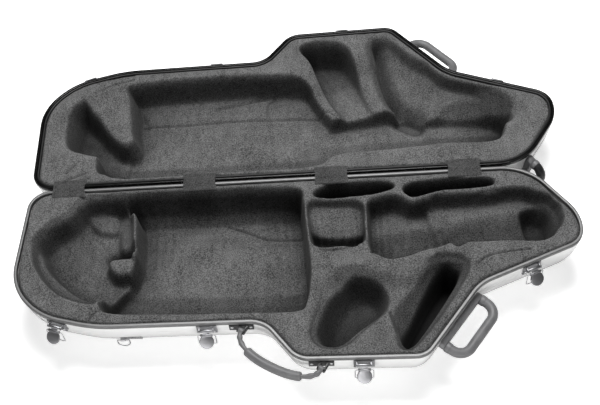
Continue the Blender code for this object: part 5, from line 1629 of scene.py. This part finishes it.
def tab_rows(place):
    """Upper face of a plush tab that lies on both linings and arches over the hinge barrel."""
    rows = []
    for step in range(TAB_ROWS + 1):
        across = 2 * step / TAB_ROWS - 1
        arch = math.exp(-(across / TAB_ARCH_SHARE) ** 4)
        tuck = max(0, abs(across) - TAB_TUCK_SHARE) / (1 - TAB_TUCK_SHARE)
        height = TAB_CREST * arch + TAB_LIFT * (1 - arch) - TAB_TUCK * tuck ** 2
        flare = 1 + TAB_FLARE * (1 - arch)
        row = []
        for column in range(TAB_COLUMNS + 1):
            along = 2 * column / TAB_COLUMNS - 1
            side_fall = TAB_SIDE_FALL * abs(along) ** 6
            x = place + along * TAB_WIDTH * HALF * flare
            row.append(Vector((x, HINGE_Y + across * TAB_REACH, HALF_DEPTH + height - side_fall)))
        rows.append(row)
    return rows


def thick_mesh(name, rows, thickness):
    """Closed cloth from the rows of its upper face, with its lower face and a wall all round."""
    vertices = [point for row in rows for point in row]
    lower = len(vertices)
    vertices += [point - Vector((0, 0, thickness)) for point in vertices]
    count = len(rows[0])
    last_row, last_column = len(rows) - 1, count - 1
    faces = []
    for row in range(last_row):
        for column in range(last_column):
            first = row * count + column
            quad = (first, first + 1, first + count + 1, first + count)
            faces.append(quad)
            faces.append(tuple(index + lower for index in reversed(quad)))
    edge = list(range(last_column))
    edge += [row * count + last_column for row in range(last_row)]
    edge += [last_row * count + column for column in range(last_column, 0, -1)]
    edge += [row * count for row in range(last_row, 0, -1)]
    for index, start in enumerate(edge):
        after = edge[(index + 1) % len(edge)]
        faces.append((start, start + lower, after + lower, after))
    mesh = bpy.data.meshes.new(name)
    mesh.from_pydata(vertices, [], faces)
    turn_outward(mesh)
    shade_round(mesh, TAB_SHARP_ANGLE)
    return mesh


class CASE_OT_hinges(bpy.types.Operator):
    """Finish the hinges and lay the plush tabs over them"""

    bl_idname = "case.hinges"
    bl_label = "Hinges"

    def execute(self, context):
        for index, place in enumerate(hinge_places()):
            name = f"hinge_{index + 1}"
            for part, body in (("base_leaf", "base"), ("lid_leaf", "lid"), ("pin", "base")):
                finer_copy(f"{name}_{part}", "bright_steel", body, HINGE_EDGE)
            tab = thick_mesh(f"{name}_tab", tab_rows(place), TAB_THICKNESS)
            tab.materials.append(finish_of("tab_pile"))
            piece = bpy.data.objects.new(f"{name}_tab", tab)
            context.scene.collection.objects.link(piece)
            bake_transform(piece)
            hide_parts(f"{name}_cover")
        return {"FINISHED"}


def head_pair(share, side, place):
    """Two heads at one place of the rim: each a point and its direction. The place is (reach, face, drop)."""
    reach, face, drop = place
    spot = rim_frame(share, side)
    way = spot.to_3x3() @ Vector((0, 1, 0))
    return [(spot @ Vector((hand * reach, face, -drop)), way) for hand in (-1, 1)]


class CASE_OT_latches(bpy.types.Operator):
    """Finish the latches and set their rivets"""

    bl_idname = "case.latches"
    bl_label = "Latches"

    def execute(self, context):
        rivets = {"base": [], "lid": []}
        for index, share in enumerate(LATCH_SHARES):
            name = f"latch_{index + 1}"
            bodies = (
                ("plate", "base"), ("catch", "lid"),
                ("lever", f"{name}_lever_body"), ("bail", f"{name}_bail_body"),
            )
            for part, body in bodies:
                finish = "bright_steel" if part == "bail" else "latch_steel"
                finer_copy(f"{name}_{part}", finish, body, LATCH_EDGE)
            for side, place in LATCH_RIVETS.items():
                rivets[BODY_NAMES[side]] += head_pair(share, side, place)
        for body, places in rivets.items():
            add_heads(f"{body}_latch_rivets", body, places, LATCH_RIVET)
        return {"FINISHED"}


def handle_frame():
    """Frame of the carrying handle: X from foot to foot, Y outward and a little down."""
    pivots = []
    for share, standoff in zip(HANDLE_FOOT_SHARES, HANDLE_FOOT_STANDOFFS):
        pivots.append(rim_frame(share, BASE) @ Vector((0, standoff, -HANDLE_AXIS_DROP)))
    along = (pivots[1] - pivots[0]).normalized()
    level = Vector((along[1], -along[0], 0))
    out = level * math.cos(HANDLE_DROOP) - Vector((0, 0, math.sin(HANDLE_DROOP)))
    turn = Matrix((along, out, along.cross(out))).transposed().to_4x4()
    return Matrix.Translation(pivots[0]) @ turn, (pivots[1] - pivots[0]).length


def grip_section(scale):
    """Section of the grip, with a flange line along both edges."""
    section = []
    for side in range(GRIP_SIDES):
        turn = math.tau * side / GRIP_SIDES
        flange = GRIP_FLANGE * math.exp(-(math.sin(turn) / GRIP_FLANGE_TURN) ** 2)
        depth = (GRIP_DEPTH + flange) * math.cos(turn)
        section.append((depth * scale, GRIP_BREADTH * scale * math.sin(turn)))
    return section


def grip_mesh(matrix, span):
    """Moulded grip around the middle of the handle, with eased ends."""
    first = HANDLE_FIRST_TURN
    path = []
    sections = []
    for step in range(GRIP_STEPS + 1):
        angle = first + (math.pi - 2 * first) * step / GRIP_STEPS
        swing = math.copysign(abs(math.cos(angle)) ** HANDLE_ARC_POWER, math.cos(angle))
        out = HANDLE_HEIGHT * abs(math.sin(angle)) ** HANDLE_ARC_POWER
        path.append(Vector((span * HALF * (1 - swing), out, 0)))
        from_end = min(step, GRIP_STEPS - step) / GRIP_STEPS
        scale = GRIP_END_SCALE + (1 - GRIP_END_SCALE) * min(1, from_end / GRIP_END_SHARE) ** HALF
        sections.append(grip_section(scale))
    mesh = swept("grip", path, sections, Vector((0, 0, 1)))
    mesh.transform(matrix)
    shade_round(mesh)
    return mesh


class CASE_OT_handle(bpy.types.Operator):
    """Build the carrying handle"""

    bl_idname = "case.handle"
    bl_label = "Carrying handle"

    def execute(self, context):
        matrix, span = handle_frame()
        for node in ("handle_foot_left", "handle_foot_right"):
            finer_copy(node, "black_moulding", "base", HANDLE_EDGE)
        finer_copy("handle_core", "handle_rubber", "handle_body", HANDLE_EDGE)
        mesh = grip_mesh(matrix, span)
        grip = add_piece("handle_grip_moulding", mesh, finish_of("handle_rubber"), "handle_body")
        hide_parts("handle_grip")
        places = []
        for share in HANDLE_FOOT_SHARES:
            places += head_pair(share, BASE, SCREW_PLACE)
        add_heads("handle_screws", "base", places, SCREW_HEAD)
        return {"FINISHED"}


def loop_path(half_span, reach, turn):
    """Path of a loop handle off its bar."""
    path = [Vector((-half_span, LOOP_BAR_FACE + PIECE_GAP, 0))]
    for step in range(LOOP_TURN_STEPS + 1):
        angle = math.pi * HALF * step / LOOP_TURN_STEPS
        across = turn * (1 - math.cos(angle)) - half_span
        path.append(Vector((across, reach - turn * (1 - math.sin(angle)), 0)))
    return path + [Vector((-point[0], point[1], 0)) for point in reversed(path)]


def add_tube(name, path, radii, place, finish, body):
    """A round bar along a path in a plane, put at its place on a body."""
    sections = [circle_section(radius, LOOP_SIDES) for radius in radii]
    tube = swept(name, path, sections, LOOP_NORMAL)
    tube.transform(place)
    shade_round(tube)
    return add_piece(name, tube, finish_of(finish), body)


class CASE_OT_loops(bpy.types.Operator):
    """Build the three loop handles"""

    bl_idname = "case.loops"
    bl_label = "Loop handles"

    def execute(self, context):
        slants = [wall_frame(SLANT_LOOP_SHARE, SLANT_LOOP_DROP, side) for side in (BASE, LID)]
        upright = wall_frame(TIP_LOOP_SHARE, TIP_LOOP_DROP, LID) @ Matrix.Rotation(math.pi * HALF, 4, "Y")
        loops = (
            ("base_loop", slants[0], SLANT_LOOP, "handle_rubber", "base"),
            ("lid_loop", slants[1], SLANT_LOOP, "handle_rubber", "lid"),
            ("tip_loop", upright, TIP_LOOP, "black_moulding", "lid"),
        )
        for name, place, sizes, finish, body in loops:
            path = loop_path(**sizes)
            piece = add_tube(f"{name}_tube", path, [LOOP_RADIUS] * len(path), place, finish, body)
            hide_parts(name)
            finer_copy(f"{name}_bar", "handle_rubber", body, BAR_EDGE)
            for hand, label in ((-1, "first"), (1, "last")):
                start = Vector((hand * sizes["half_span"], LOOP_BAR_FACE + PIECE_GAP, 0))
                ends = [start + Vector((0, along, 0)) for along in COLLAR_STATIONS]
                collar = f"{name}_{label}_collar"
                piece = add_tube(collar, ends, COLLAR_RADII, place, "handle_rubber", body)
        return {"FINISHED"}


class CASE_OT_straps(bpy.types.Operator):
    """Finish the strap brackets and their rings"""

    bl_idname = "case.straps"
    bl_label = "Strap brackets"

    def execute(self, context):
        for name, body in (("base", "base"), ("lid", "lid")):
            ring_body = f"{name}_ring_body"
            finer_copy(f"{name}_strap_bracket", "bright_steel", body, BRACKET_EDGE)
            finer_copy(f"{name}_strap_ring", "bright_steel", ring_body, RING_EDGE)
        return {"FINISHED"}


class CASE_OT_stage(bpy.types.Operator):
    """Set the floor, the light and the camera"""

    bl_idname = "case.stage"
    bl_label = "Stage"

    def execute(self, context):
        settings = context.scene.case_stage
        build_floor(context.scene)
        build_world(context.scene, settings.ambient)
        add_area("key_light", power=settings.key_power, **KEY_LIGHT)
        add_area("front_light", power=settings.fill_power, **FRONT_LIGHT)
        data = bpy.data.cameras.new("camera")
        data.lens = CAMERA_LENS
        data.sensor_width = SENSOR_WIDTH
        camera = bpy.data.objects.new("camera", data)
        camera.location = CAMERA_PLACE
        camera.rotation_euler = CAMERA_TURN
        context.scene.collection.objects.link(camera)
        context.scene.camera = camera
        context.scene.view_settings.view_transform = "Standard"
        return {"FINISHED"}


def build_floor(scene):
    """Large pale floor that shows white to the camera and in reflections but keeps the shadow."""
    mesh = bpy.data.meshes.new("floor")
    corners = [(FLOOR_REACH * x, FLOOR_REACH * y, 0) for x, y in FLOOR_CORNERS]
    mesh.from_pydata(corners, [], [tuple(range(len(corners)))])
    floor = bpy.data.objects.new("floor", mesh)
    material = bpy.data.materials.new("floor")
    material.use_nodes = True
    tree = material.node_tree
    shader = tree.nodes["Principled BSDF"]
    shader.inputs["Base Color"].default_value = (*FLOOR_COLOUR, 1.0)
    shader.inputs["Roughness"].default_value = FLOOR_ROUGHNESS
    shader.inputs["Specular IOR Level"].default_value = FLOOR_SPECULAR
    path = tree.nodes.new("ShaderNodeLightPath")
    glow = add_math(tree, "MULTIPLY", path.outputs["Is Camera Ray"], FLOOR_GLOW)
    shader.inputs["Emission Color"].default_value = WHITE
    tree.links.new(glow, shader.inputs["Emission Strength"])
    mesh.materials.append(material)
    scene.collection.objects.link(floor)


def build_world(scene, ambient):
    """White to the camera and in reflections, soft even light for the rest."""
    world = bpy.data.worlds.new("studio")
    world.use_nodes = True
    tree = world.node_tree
    background = tree.nodes["Background"]
    background.inputs["Color"].default_value = WHITE
    path = tree.nodes.new("ShaderNodeLightPath")
    shown = add_math(tree, "MAXIMUM", path.outputs["Is Camera Ray"], path.outputs["Is Transmission Ray"])
    level = add_range(tree, shown, 0.0, 1.0, ambient, 1.0)
    tree.links.new(level, background.inputs["Strength"])
    scene.world = world


def add_area(name, place, target, size, power):
    """A rectangular area light that looks at a point."""
    data = bpy.data.lights.new(name, "AREA")
    data.shape = "RECTANGLE"
    data.size, data.size_y = size
    data.energy = power
    light = bpy.data.objects.new(name, data)
    light.location = place
    light.rotation_euler = (Vector(target) - Vector(place)).to_track_quat("-Z", "Y").to_euler()
    bpy.context.scene.collection.objects.link(light)


class CASE_PT_sidebar(bpy.types.Panel):
    """Sizes, colours and steps of the case"""

    bl_idname = "CASE_PT_sidebar"
    bl_label = "Saxophone case"
    bl_space_type = "VIEW_3D"
    bl_region_type = "UI"
    bl_category = "Case"

    def draw(self, context):
        layout = self.layout
        for group in (context.scene.case_sizes, context.scene.case_finish, context.scene.case_stage):
            box = layout.box()
            for label in group.bl_rna.properties.keys():
                if label not in ("rna_type", "name"):
                    box.prop(group, label)
        for operator in STEPS:
            layout.operator(operator.bl_idname)


STEPS = (
    CASE_OT_stage, CASE_OT_materials, CASE_OT_shells, CASE_OT_rims, CASE_OT_base_lining, CASE_OT_lid_lining,
    CASE_OT_hinges, CASE_OT_latches, CASE_OT_handle, CASE_OT_loops, CASE_OT_straps,
)
CLASSES = (CaseSizes, CaseFinish, StageSettings, *STEPS, CASE_PT_sidebar)


def register():
    """Register the classes and hang the settings on the scene."""
    for item in CLASSES:
        bpy.utils.register_class(item)
    bpy.types.Scene.case_sizes = bpy.props.PointerProperty(type=CaseSizes)
    bpy.types.Scene.case_finish = bpy.props.PointerProperty(type=CaseFinish)
    bpy.types.Scene.case_stage = bpy.props.PointerProperty(type=StageSettings)


def unregister():
    """Take the settings and the classes away again."""
    del bpy.types.Scene.case_sizes
    del bpy.types.Scene.case_finish
    del bpy.types.Scene.case_stage
    for item in reversed(CLASSES):
        bpy.utils.unregister_class(item)


def main():
    """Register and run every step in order."""
    register()
    bpy.ops.case.stage()
    bpy.ops.case.materials()
    bpy.ops.case.shells()
    bpy.ops.case.rims()
    bpy.ops.case.base_lining()
    bpy.ops.case.lid_lining()
    bpy.ops.case.hinges()
    bpy.ops.case.latches()
    bpy.ops.case.handle()
    bpy.ops.case.loops()
    bpy.ops.case.straps()


if __name__ == "__main__":
    main()
